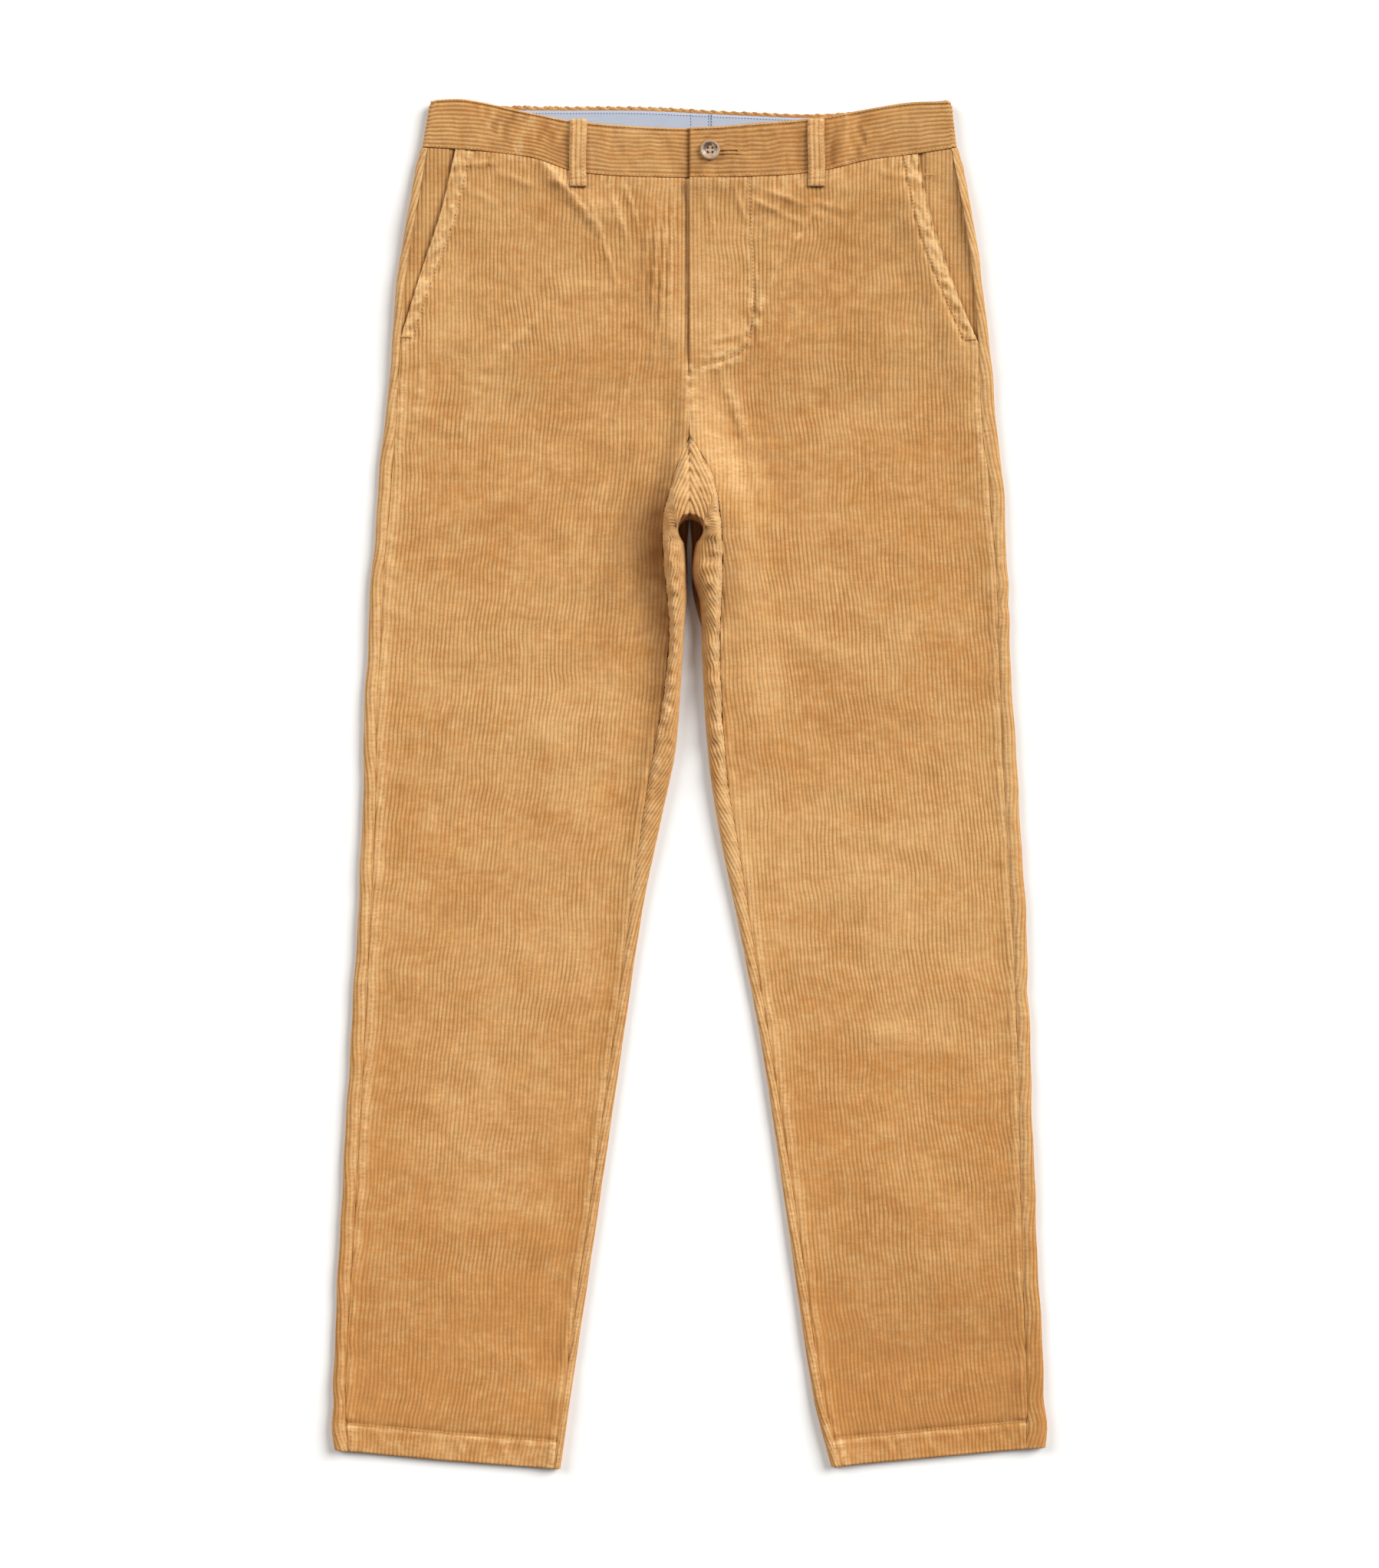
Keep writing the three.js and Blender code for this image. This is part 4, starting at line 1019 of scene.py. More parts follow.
def under_skin(skin, sign, rows, columns, depth, wall, w_all):
    """The back panel from the outseam over the outer fold and along the floor, to the inner fold's line of
    contact or the centre back seam. A column is carried round the fold by its length of cloth: below the
    outermost line a quarter circle, above it a quarter ellipse that climbs to the front's height."""
    cloth = settings().cloth
    pitch = cloth.wale_pitch * MM
    base = grain(sign, rows)
    outer = line_of(sign, "outer", rows)
    wrap = np.abs(line_of(sign, "outseam", rows) - outer) - GAP
    t_high = UPPER_ARC + wrap - FOLD_WIDE
    line = crotch_edge(sign, w_all)["contact"]
    end_x = np.interp(rows, line[1], line[0], right=sign * GAP / 2)
    bend = LOWER_ARC - FOLD_HALF

    def g_of(t):
        return outer - base + sign * (t + bend)

    t_low = sign * (end_x - outer) - bend
    ends = np.stack([g_of(t_low), g_of(t_high)])

    def place(row, value):
        x0, y0 = outer[row], rows[row]
        t = sign * (base[row] + value - x0) - bend
        low_angle = np.clip(-t / FOLD_HALF, 0, math.pi / 2)
        flat = np.maximum(-t - LOWER_ARC, 0)
        up_angle = np.clip(t / UPPER_ARC, 0, 1) * math.pi / 2
        over = np.maximum(t - UPPER_ARC, 0)
        inward = np.where(
            t < 0,
            FOLD_HALF * (1 - np.cos(low_angle)) + flat,
            FOLD_WIDE * (1 - np.cos(up_angle)) + over,
        )
        x = x0 - sign * inward
        lift = under_lift(y0)
        waist_gap = 3 * GAP
        y = panel_y(sign, x, y0, BAND_BACK, waist_gap)
        middle = lift + FOLD_HALF
        top = cloth_top(x, y)
        seam_x = line_of(sign, "outseam", y)
        top = top + seam_pucker(np.where(t > 0, np.abs(x - seam_x), 99), y, 1.0 + sign)
        hem_up = y - hem_line(sign, x)
        top = top - HEM_ROLL * (1 - rolled(hem_up / CUT_ROLL))
        top = top - 0.5 * bell(hem_up - cloth.hem_depth * MM, 1.2)
        low_z = lift + FOLD_HALF * (1 - np.sin(low_angle))
        high_z = middle + (top - middle) * np.sin(up_angle)
        z = np.where(t < 0, low_z, high_z)
        groove = depth * (1 - wale(value, pitch))
        nx = np.where(t < 0, np.cos(low_angle), np.cos(up_angle))
        nz = np.where(t < 0, -np.sin(low_angle), np.sin(up_angle))
        inset = groove + wall
        at_seam = wall * (t > t_high[row] - 1e-6)
        x = x - sign * nx * (inset - at_seam)
        z = z - nz * inset - (1 - np.abs(nz)) * at_seam * np.sign(nz)
        worn_and_painted_light = np.where(t > 2, 0.55 * bell(np.abs(x - seam_x) - 3, 2.5) + 0.15, 0.1)
        worn_and_painted_light = worn_and_painted_light + 0.3 * (1 - smooth(19, 24, hem_up))
        worn_and_painted_light = worn_and_painted_light * patches(x, y) + nap_tone_and_painted_shade(x, y) * (t > 0)
        # Painted shade: the flat under layer below the crotch, seen in the gap between the legs, is darkened
        # where the raised cloth round it keeps the lamps off.
        worn_and_painted_light = worn_and_painted_light - 2.0 * bell(x, 26) * bell(y - 170, 60) * (t < -20)
        return np.stack([x, y, z], -1), np.stack([value, y0 + 0 * value, worn_and_painted_light], -1)

    edges = clipped_patch(skin, columns, ends.min(0), ends.max(0), place, flip=wall == 0)
    seam_side, centre_side = ("high", "low") if sign > 0 else ("low", "high")
    hem_ids, hem_values = edges["start"], edges["start_values"]
    end_ids, end_values = edges["end"], edges["end_values"]
    if sign > 0:
        hem_ids, hem_values, end_ids, end_values = (
            hem_ids[::-1], hem_values[::-1], end_ids[::-1], end_values[::-1],
        )
    joint = int(np.searchsorted(rows, line[1][-1] - 1e-6))
    return {
        "outseam": (edges[seam_side], share(rows)),
        "waist": (end_ids, share(end_values)),
        "hem": (hem_ids, share(hem_values)),
        "contact": (edges[centre_side][: joint + 1], rows[: joint + 1]),
        "centre": (edges[centre_side][joint:], share(rows[joint:])),
    }


def strip_skin(skin, sign, w, q, depth, wall):
    """The back panel from its line of contact over the inner fold to the inseam, and round the crotch to the
    centre seam. q is 0 to 1 on the lower quarter circle of the fold and 1 to 2 from its outermost line to
    the seam, where the share of the way is 1 - cos(90 degrees x share of q), and the height climbs on a
    quarter ellipse to that of the cloth."""
    cloth = settings().cloth
    pitch = cloth.wale_pitch * MM
    at = crotch_edge(sign, w)
    low = np.clip(q, 0, 1)[None, :]
    high = np.clip(q - 1, 0, 1)[None, :]
    (ex, ey), (sx, sy), (cx, cy) = at["edge"], at["seam"], at["contact"]
    run = np.hypot(sx - ex, sy - ey)[:, None]
    part = (1 - np.cos(math.pi / 2 * high)) * (run - GAP) / run
    down = np.sin(math.pi / 2 * low)
    x = np.where(q[None, :] <= 1, mix(cx[:, None], ex[:, None], down), mix(ex[:, None], sx[:, None], part))
    y = np.where(q[None, :] <= 1, mix(cy[:, None], ey[:, None], down), mix(ey[:, None], sy[:, None], part))
    x = sign * np.maximum(sign * x, GAP / 2)
    rise = along(CROTCH_RISE, "y", "rise", ey)[:, None]
    nose_part = smooth(1.0, 1.4, w)[:, None]
    fold_wide = np.minimum(run * 0.8, FOLD_WIDE + rise * 0.4) * (1 - 0.78 * nose_part)
    top = cloth_top(x, y)
    hem_up = y - hem_line(sign, x)
    top = top - HEM_ROLL * (1 - rolled(hem_up / CUT_ROLL)) - 0.5 * bell(hem_up - cloth.hem_depth * MM, 1.2)
    to_seam = (run - GAP) * (1 - part * run / (run - GAP))
    fade = np.clip(2 - w, 0, 1)[:, None] ** 0.5
    top = top + seam_pucker(to_seam, y, 2.0 + sign) * fade
    near = smooth(-60, 60, y)
    folds = 1.8 * cloud(x * 2, y, 14, 13, 23) + 1.4 * cloud(x, y, 5, 6, 24)
    top = top + near * folds * np.clip(4 * part, 0, 1) * (1 - 0.3 * nose_part)
    round_nose = smooth(1.05, 1.4, w)[:, None]
    top = top - round_nose * (1.0 + 0.6 * cloud(y, x, 4, 9, 25)) * bell(x, 1.6)
    lift = under_lift(ey)[:, None]
    low_z = lift + FOLD_HALF * (1 - np.cos(math.pi / 2 * low))
    high_z = lift + FOLD_HALF + (top - lift - FOLD_HALF) * rolled(part * run / fold_wide)
    z = np.where(q[None, :] <= 1, low_z, high_z)
    points = np.stack([x, y, z], -1)
    length = np.concatenate(
        [np.zeros((len(w), 1)), np.cumsum(np.linalg.norm(np.diff(points, axis=1), axis=-1), axis=1)], axis=1
    )
    nose = smooth(1.0, 1.5, w)[:, None]
    lean = 0.25 + 1.55 * smooth(6, 45, length)
    leg_lean = 0.22 * (y + 120) * smooth(-120, 40, y) * (1 - nose)
    slanting = 0.8 * (length + lean * np.abs(x)) / np.sqrt(1 + lean**2)
    travelled = mix(length, slanting, nose) + leg_lean
    value = (cx - grain(sign, cy))[:, None] - sign * travelled
    numbers = np.arange(points.shape[0] * points.shape[1]).reshape(points.shape[:2])
    faces = quads_to_triangles(numbers, sign < 0)
    normals = point_normals(points.reshape(-1, 3), faces).reshape(points.shape)
    pressed = 1 + 1.0 * near + nose_part * (0.4 + 0.8 * cloud(x, y, 4, 4, 38))
    shift = (depth * pressed * (1 - wale(value, pitch)))[..., None]
    moved = points - normals * shift
    if wall:
        inside = points - normals * wall
        upright = points.copy()
        upright[..., 2] -= wall / np.maximum(0.6, normals[..., 2])
        at_seam = (q >= 2 - 1e-6)[None, :, None]
        moved = np.where(at_seam, upright, inside)
    moved[..., 2] = np.maximum(moved[..., 2], 0.05 if wall else 0.1)
    near_centre = np.abs(x) <= GAP
    moved[..., 0] = np.where(near_centre, x, moved[..., 0])
    moved[..., 0] = sign * np.maximum(sign * moved[..., 0], GAP / 2)
    worn_and_painted_light = 0.5 * bell(to_seam - 3.5, 3) + 0.15 + 0.3 * near
    worn_and_painted_light = worn_and_painted_light * patches(x, y) * (1 - 0.6 * bell(part, 0.25))
    # Painted light: lighter where the fold turns to the lamps at the upper right, darker where it turns away.
    worn_and_painted_light = worn_and_painted_light + 0.6 * near * (0.45 * normals[..., 0] + 0.9 * normals[..., 1])
    # Painted shade: the lower quarter of the fold near the crotch, the walls of the gap between the legs, is
    # painted dark, and on the left leg so is the strip's flank that faces away from the key light.
    inside = (1 - smooth(0.6, 1.1, q))[None, :] * near
    worn_and_painted_light = worn_and_painted_light + 0.10 * nose_part - 0.15 * near
    flank_painted_shade = 0.9 * (1 - smooth(0.08, 0.40, part)) * bell(y - 140, 40) * (1 - nose) if sign > 0 else 0
    worn_and_painted_light = mix(worn_and_painted_light - flank_painted_shade, -2.2 + 0 * worn_and_painted_light, inside)
    cloth_at = np.stack([value, y, worn_and_painted_light + 0 * y], -1)
    ids = grid_patch(skin, moved, cloth_at, flip=(sign < 0) != (wall > 0))
    return {
        "contact": (ids[:, 0], cy),
        "inseam": (ids[:, -1], share(w)),
        "hem": (ids[0], q / 2),
        "crotch": (ids[-1], q / 2),
    }


def back_face(skin, sign, row, columns, strip_rows, strip_columns, depth, wall):
    """Both parts of a back panel's face, zipped together along the inner fold's line of contact."""
    w_all = np.linspace(0, 2, 800)
    tip = crotch_edge(sign, np.array([2.0]))["contact"][1][0]
    rows = panel_rows(sign, row, (tip,))
    under = under_skin(skin, sign, rows, columns, depth, wall, w_all)
    strip = strip_skin(skin, sign, strip_rows, strip_columns, depth, wall)
    (ids_a, at_a), (ids_b, at_b) = under["contact"], strip["contact"]
    place_b = np.clip((at_b - at_b[0]) / (at_b[-1] - at_b[0]), 0, 1)
    join_lines(skin, np.concatenate(skin.faces), ids_a, share(at_a), ids_b, place_b)
    (hem_a, hem_at_a), (hem_b, hem_at_b) = under["hem"], strip["hem"]
    centre_ids, centre_at = under["centre"]
    return {
        "outseam": under["outseam"],
        "waist": under["waist"],
        "centre": (np.concatenate([ids_b[-1:], centre_ids]), np.concatenate([[-0.001], centre_at])),
        "hem": (np.concatenate([hem_a, hem_b]), np.concatenate([hem_at_a * 0.8, 0.8001 + hem_at_b * 0.1999])),
        "crotch": strip["crotch"],
        "inseam": strip["inseam"],
    }


def strip_rows(far, near, nose):
    """Values of w from the hem to the centre seam, with the three spacings in millimetres: down the leg,
    beside the crotch and round it."""
    hem = -535.0
    span = CROTCH_Y - hem
    legs = np.linspace(0, (-70 - hem) / span, math.ceil((-70 - hem) / far), endpoint=False)
    near_crotch = np.linspace((-70 - hem) / span, 1, math.ceil((CROTCH_Y + 70) / near), endpoint=False)
    round_crotch = np.linspace(1, 2, math.ceil((NOSE_TIP - CROTCH_Y) / nose) + 1)
    return np.concatenate([legs[:1], legs[:1] + [0.0007, 0.0016, 0.003], legs[1:], near_crotch, round_crotch])


def build_back(sign):
    """A back panel as a closed wall."""
    cloth = settings().cloth
    pitch, wall = cloth.wale_pitch * MM, cloth.cloth * MM
    skin = Skin()
    reach = (-170.0, 170.0)
    fine_q = np.concatenate([np.linspace(0, 1, 8, endpoint=False), np.linspace(1, 2, 72)])
    coarse_q = np.concatenate([np.linspace(0, 1, 2, endpoint=False), np.linspace(1, 2, 9)])
    outer = back_face(
        skin, sign, cloth.row * MM * 1.6, wale_columns(*reach, pitch, 4), strip_rows(4.0, 1.3, 0.95), fine_q,
        cloth.wale_depth * MM, 0.0,
    )
    inner = back_face(
        skin, sign, 24.0, wale_columns(*reach, pitch, 0.4), strip_rows(24.0, 10.0, 6.0), coarse_q, 0.0, wall,
    )
    rim(skin, outer, inner)
    name = f"back_{SIDE_NAMES[sign]}"
    piece = cloth_mesh(f"cloth_{name}", *skin.joined(), corduroy(), (name,))
    return piece


BUTTON_Y = 494.0
SLIT_Y = BUTTON_Y - 0.6
SLIT_END = 38.0
BAND_CREASES = (
    (52, 478, 60, 512, -0.9, 4.0),
    (66, 476, 70, 514, 0.8, 4.5),
    (82, 480, 78, 516, -0.7, 4.0),
    (118, 484, 124, 522, 0.7, 7.0),
    (-40, 476, -44, 510, 0.6, 6.0),
    (-62, 480, -58, 512, -0.7, 5.0),
    (-110, 486, -118, 520, 0.8, 6.0),
    (-138, 492, -132, 524, -0.7, 6.0),
    (-165, 496, -172, 530, 0.5, 8.0),
    (12, 504, 20, 511, 0.8, 1.5),
    (150, 490, 146, 526, -0.5, 6.0),
)
BAND_WALES = 12


def band_face(x, y, up, overlaps):
    """Height of the waistband's front face: proud of the panels, its edges rolled down, with shallow dents,
    and on the left half the slit of the buttonhole."""
    fold_x = np.where(x < 0, along(RIGHT_SIDE, "y", "outer", y), along(LEFT_SIDE, "y", "outer", y))
    settle = smooth(0, 50, np.abs(x - fold_x))
    top = mix(WAIST_TOP, cloth_top(x, y, fine=False), settle) + BAND_PROUD
    top = top + (band_rise(x) if overlaps else 0)
    top = top + crease_height(x, y, BAND_CREASES) * settle
    top = top + (0.6 * cloud(x, y, 11, 26, 26) + 0.45 * cloud(x, y, 5.0, 9, 27) - 0.3) * settle
    low, high = up * BAND_WIDE, (1 - up) * BAND_WIDE
    top = top - 1.1 * (1 - rolled(high / 2.2)) - 0.3 * (1 - rolled(low / 2.0))
    top = top - (0.3 + 0.25 * cloud(x, low, 5, 19, 28)) * bell(np.minimum(low, high) - 3, 1.2)
    if overlaps:
        slit = smooth(12, 15, x) * (1 - smooth(36.5, 38.5, x))
        off = y - SLIT_Y
        top = top - 0.6 * bell(off, 0.9) * slit + 0.3 * bell(np.abs(off) - 2.0, 1.0) * slit
        top = top - 0.9 * (1 - rolled(x / 1.5))
    return top


def band_surface(sign, front_end, overlaps):
    """The outer face of half the waistband. u runs from the centre back at 0 to the side fold at 1 along the
    floor, round the fold on a half circle to 2, and along the front to the end at 3; v goes up the band."""
    half = (WAIST_TOP + BAND_PROUD - BAND_LIFT) / 2

    def surface(u, v):
        fold_y = mix(497 + GAP, 534, v)
        fold_x = along(SIDES[sign], "y", "outer", fold_y) - sign * 1.5 * bell(1 - v, 0.06)
        back = np.clip(u, 0, 1)
        turn = np.clip(u - 1, 0, 1) * math.pi
        front = np.clip(u - 2, 0, 1)
        back_x = mix(sign * GAP / 2, fold_x, back * 0.98)
        back_y = mix(along(BAND_BACK, "x", "seam", back_x) + GAP, along(BAND_BACK, "x", "top", back_x), v)
        down = (1 - v) * BAND_WIDE
        low_z = BAND_LIFT + 1.2 * (1 - rolled(down / CUT_ROLL)) + 0 * back_x
        front_x = mix(fold_x - sign * half, front_end, front)
        front_y = mix(along(BAND_FRONT, "x", "seam", front_x), along(BAND_FRONT, "x", "top", front_x), v)
        front_z = band_face(front_x, front_y, v, overlaps)
        turn_x = fold_x - sign * half * (1 - np.sin(turn))
        turn_z = BAND_LIFT + half * (1 - np.cos(turn))
        x = np.where(u < 1, back_x, np.where(u <= 2, turn_x, front_x))
        y = np.where(u < 1, back_y, np.where(u <= 2, fold_y + 0 * turn_x, front_y))
        z = np.where(u < 1, low_z, np.where(u <= 2, turn_z, front_z))
        rope = np.sin(x / 1.3 + 0.9 * down) * bell(down, 3.2) * (u < 1) * (0.8 + 0.4 * cloud(x, 0, 9, 9, 33))
        rope = rope * (1 - smooth(130, 150, np.abs(x))) * mix(1, 0.5, smooth(0, 12, x))
        y = y + 0.9 * rope
        z = z + 0.9 * rope
        length = sign * x + 0 * y
        wander = 0.026 * cloud(length, v, 15, 0.5, 29) + 0.012 * cloud(length, v, 6, 0.3, 35)
        across = v + wander * np.sin(math.pi * v)
        value = across * BAND_WALES * settings().cloth.wale_pitch * MM + 0 * x
        edge = np.minimum(v, 1 - v) * BAND_WIDE
        worn_and_painted_light = (0.35 * bell(edge, 3.5) + 0.05) * (0.8 + 0.5 * cloud(length + 40 * u, edge, 7, 5, 30))
        worn_and_painted_light = worn_and_painted_light + 0.6 * rope - (0.62 if sign > 0 else 0.42) + 0.25 * cloud(length, v, 8, 0.7, 34)
        # Painted shadow: a dark line on the right half's end in front, where the raised left end of the band
        # laps over it.
        if sign < 0:
            worn_and_painted_light = worn_and_painted_light - 1.4 * bell(x + 0.6, 1.3) * (u > 2)
        # Painted light and shade on the front, by how it turns to the lamps.
        worn_and_painted_light = worn_and_painted_light + 1.1 * np.where(u > 2, painted_light_by_slope(x + 0 * y, y + 0 * x, z + 0 * x), 0)
        return np.stack([x, y + 0 * x, z + 0 * x], -1), np.stack([value, length + 20 * u, worn_and_painted_light + 0 * x], -1)

    return surface


def round_band(back, turn, front):
    """Steps of u along the back, round the side fold and along the front."""
    behind = np.linspace(0, 1, back, endpoint=False)
    return np.concatenate([behind, np.linspace(1, 2, turn, endpoint=False), np.linspace(2, 3, front)])


def build_waistband(sign):
    """Half of the waistband, from the centre back round the side to its end in front."""
    left = sign > 0
    front_end = GAP / 2 if left else BAND_LAP
    skin = Skin()
    u, coarse_u = (round_band(*counts) for counts in ((260, 12, 190), (200, 7, 26)))
    coarse_v = np.concatenate([np.linspace(0, 0.8, 5), np.linspace(0.84, 1, 9)])
    v = np.linspace(0, 1, BAND_WALES * 4 + 1)
    closed_sheet(
        skin, band_surface(sign, front_end, left), (u, v), (coarse_u, coarse_v), BAND_WALL,
        settings().cloth.wale_depth * MM * 1.5, flip=left,
    )
    name = f"waistband_{SIDE_NAMES[sign]}"
    piece = cloth_mesh(f"cloth_{name}", *skin.joined(), corduroy(), (name,))
    return piece


LINING_SEAM = 16.0
LINING_REACH = 190.0
LINING_WALL = 0.8


def lining_y(x, up):
    """y of the lining, a little inside the waistband's edges."""
    low = along(BAND_BACK, "x", "seam", x) + 4
    high = along(BAND_BACK, "x", "top", x) - 4
    return mix(low, high, up)


def lining_face(x, y):
    """Height of the lining: flat on the waistband's inner side, with soft ripples."""
    flat = BAND_LIFT + BAND_WALL + GAP + LINING_WALL
    return flat + 0.12 * np.sin(x / 6.5) * np.sin(x / 17 + 1) + 0.05 * np.sin(y / 3)


def build_lining(low, high, name):
    """One length of the lining of the back waistband."""

    def surface(u, v):
        x = mix(low, high, u) + 0 * v
        y = lining_y(x, v)
        return np.stack([x, y, lining_face(x, y)], -1), np.stack([x, y], -1)

    skin = Skin()
    closed_sheet(skin, surface, grid(90, 12), grid(12, 4), LINING_WALL)
    piece = cloth_mesh(f"cloth_{name}", *skin.joined(), chambray(), (name,), "lining")
    return piece


FACING_UNDER = 20.0
FACING_DOWN = 2.9


def facing_skin(skin, sign, rows, columns, depth, wall):
    """One face of a pocket facing: upright wales, clipped at the outseam and under the front panel."""
    cloth = settings().cloth
    pitch = cloth.wale_pitch * MM
    outer = line_of(sign, "outseam", rows) + sign * 2
    inner = along(POCKETS[sign], "y", "x", rows) - sign * FACING_UNDER
    ends = np.stack([outer, inner])

    def place(row, value):
        x = value
        top_y = along(BAND_FRONT, "x", "seam", x) - 2 * GAP
        y = np.minimum(rows[row], top_y + 0.001 * rows[row] - 0.5)
        beyond = sign * (x - along(POCKETS[sign], "y", "x", y))
        down = FACING_DOWN - 2.7 * smooth(2, 9, beyond) * smooth(462, 492, y)
        z = cloth_top(x, y, fine=False) - down - wall - depth * (1 - wale(value, pitch))
        z = z + 0.4 * cloud(x, y, 14, 22, 31)
        shaded = -0.22 + 0.12 * cloud(x, y, 12, 16, 32)
        return np.stack([x, y, z], -1), np.stack([value, rows[row] + 0 * value, shaded], -1)

    edges = clipped_patch(skin, columns, ends.min(0), ends.max(0), place, flip=wall > 0)
    at = share(rows)
    return {
        "low": (edges["low"], at),
        "high": (edges["high"], at),
        "start": (edges["start"], share(edges["start_values"])),
        "end": (edges["end"], share(edges["end_values"])),
    }


def build_facing(sign):
    """The cloth that fills a slanting pocket mouth, one layer below the front panel."""
    cloth = settings().cloth
    pitch, wall = cloth.wale_pitch * MM, cloth.cloth * MM
    skin = Skin()
    low = POCKETS[sign]["y"][0] + 4
    reach = (-240.0, 240.0)
    outer = facing_skin(
        skin, sign, np.linspace(low, 500, 42), wale_columns(*reach, pitch, 4), cloth.wale_depth * MM, 0.0
    )
    inner = facing_skin(skin, sign, np.linspace(low, 500, 8), wale_columns(*reach, pitch, 0.5), 0.0, wall)
    rim(skin, outer, inner)
    name = f"pocket_facing_{SIDE_NAMES[sign]}"
    piece = cloth_mesh(f"cloth_{name}", *skin.joined(), corduroy(), (name,))
    return piece


FRONT_LOOPS = {"belt_loop_front_right": (-87.0, 466.0, 519.0), "belt_loop_front_left": (99.0, 466.0, 519.0)}
BACK_LOOPS = {
    "belt_loop_back_right": (-110.0, 484.0, 529.0),
    "belt_loop_back_centre": (0.0, 481.0, 525.0),
    "belt_loop_back_left": (110.0, 482.0, 524.0),
}
LOOP_CLOTH = 2.0


def loop_face(x, y, centre, low, high):
    """Height of a front belt loop: over the waistband on a low arch, its sides folded down."""
    f = (y - low) / (high - low)
    base = cloth_top(centre, np.minimum(y, 512), fine=False) + BAND_PROUD + 0.25 + GAP
    wide = settings().sewing.loop_wide * MM
    side = wide / 2 - np.abs(x - centre)
    ends = np.minimum(y - low, high - y)
    arch = 1.4 * np.sin(math.pi * np.clip(f, 0, 1))
    ridges = 0.9 * (np.abs(np.cos(math.pi * (x - centre) / (wide / 3.4))) ** 0.8 - 1)
    rounded = 1.1 * (1 - rolled(side / 1.6)) + 0.9 * (1 - rolled(ends / 1.5))
    return base + arch + LOOP_CLOTH + 0.5 + ridges - 0.5 * bell(ends - 5.5, 1.4) - rounded


def build_front_loop(name, centre, low, high):
    """A belt loop in front, sewn over the waistband at both ends."""
    wide = settings().sewing.loop_wide * MM

    def surface(u, v):
        y = mix(low, high, u) + 0 * v
        x = centre + (v - 0.5) * wide + 0.35 * np.sin(y / 9 + centre) + 0 * u
        z = loop_face(centre + (v - 0.5) * wide + 0 * u, y, centre, low, high)
        pitch = settings().cloth.wale_pitch * MM
        value = ((v - 0.5) * 3.4 + 0.5) * pitch + 0 * u
        worn_and_painted_light = 0.45 + 0.3 * bell(wide / 2 - np.abs(v - 0.5) * wide, 1.6) + 0.25 * cloud(x, y, 3, 7, 37)
        worn_and_painted_light = worn_and_painted_light + 0.3 * bell(np.minimum(y - low, high - y), 3)
        return np.stack([x, y, z], -1), np.stack([value, y, worn_and_painted_light + 0 * u], -1)

    skin = Skin()
    closed_sheet(skin, surface, grid(60, 41), grid(9, 3), LOOP_CLOTH, flip=True)
    piece = cloth_mesh(f"cloth_{name}", *skin.joined(), corduroy(), (name,))
    return piece


def build_back_loop(name, centre, low, high):
    """A belt loop at the back, flat between the waistband and the floor, with its face down."""
    wide = settings().sewing.loop_wide * MM

    def surface(u, v):
        y = mix(low, high, u) + 0 * v
        x = centre + (v - 0.5) * wide + 0 * u
        side = wide / 2 - np.abs(x - centre)
        z = 0.6 * (1 - rolled(side / 1.6)) + 0.4 * (1 - rolled(np.minimum(y - low, high - y) / 1.5))
        value = (v - 0.5) * wide + 0.5 * settings().cloth.wale_pitch * MM + 0 * u
        return np.stack([x, y, z], -1), np.stack([value, y], -1)

    skin = Skin()
    closed_sheet(
        skin, surface, grid(24, 27), grid(5, 3), BAND_LIFT - GAP - 0.1, settings().cloth.wale_depth * MM * 0.5
    )
    piece = cloth_mesh(f"cloth_{name}", *skin.joined(), corduroy(), (name,))
    return piece


TAPE = 0.9


def build_zip():
    """The closed zip under the fly: a plain woven tape, which nothing shows."""

    def surface(u, v):
        y = mix(333, 466, u) + 0 * v
        x = mix(12, 36, v) + 0 * u
        z = cloth_top(x, y, fine=False) + fly_rise(x, y) - settings().cloth.cloth * MM - GAP - TAPE
        return np.stack([x, y, z], -1), np.stack([x, y], -1)

    skin = Skin()
    closed_sheet(skin, surface, grid(20, 8), grid(6, 3), TAPE, flip=True)
    piece = cloth_mesh("cloth_fly_zip", *skin.joined(), zip_tape(), ("fly_zip",), "zip")
    return piece


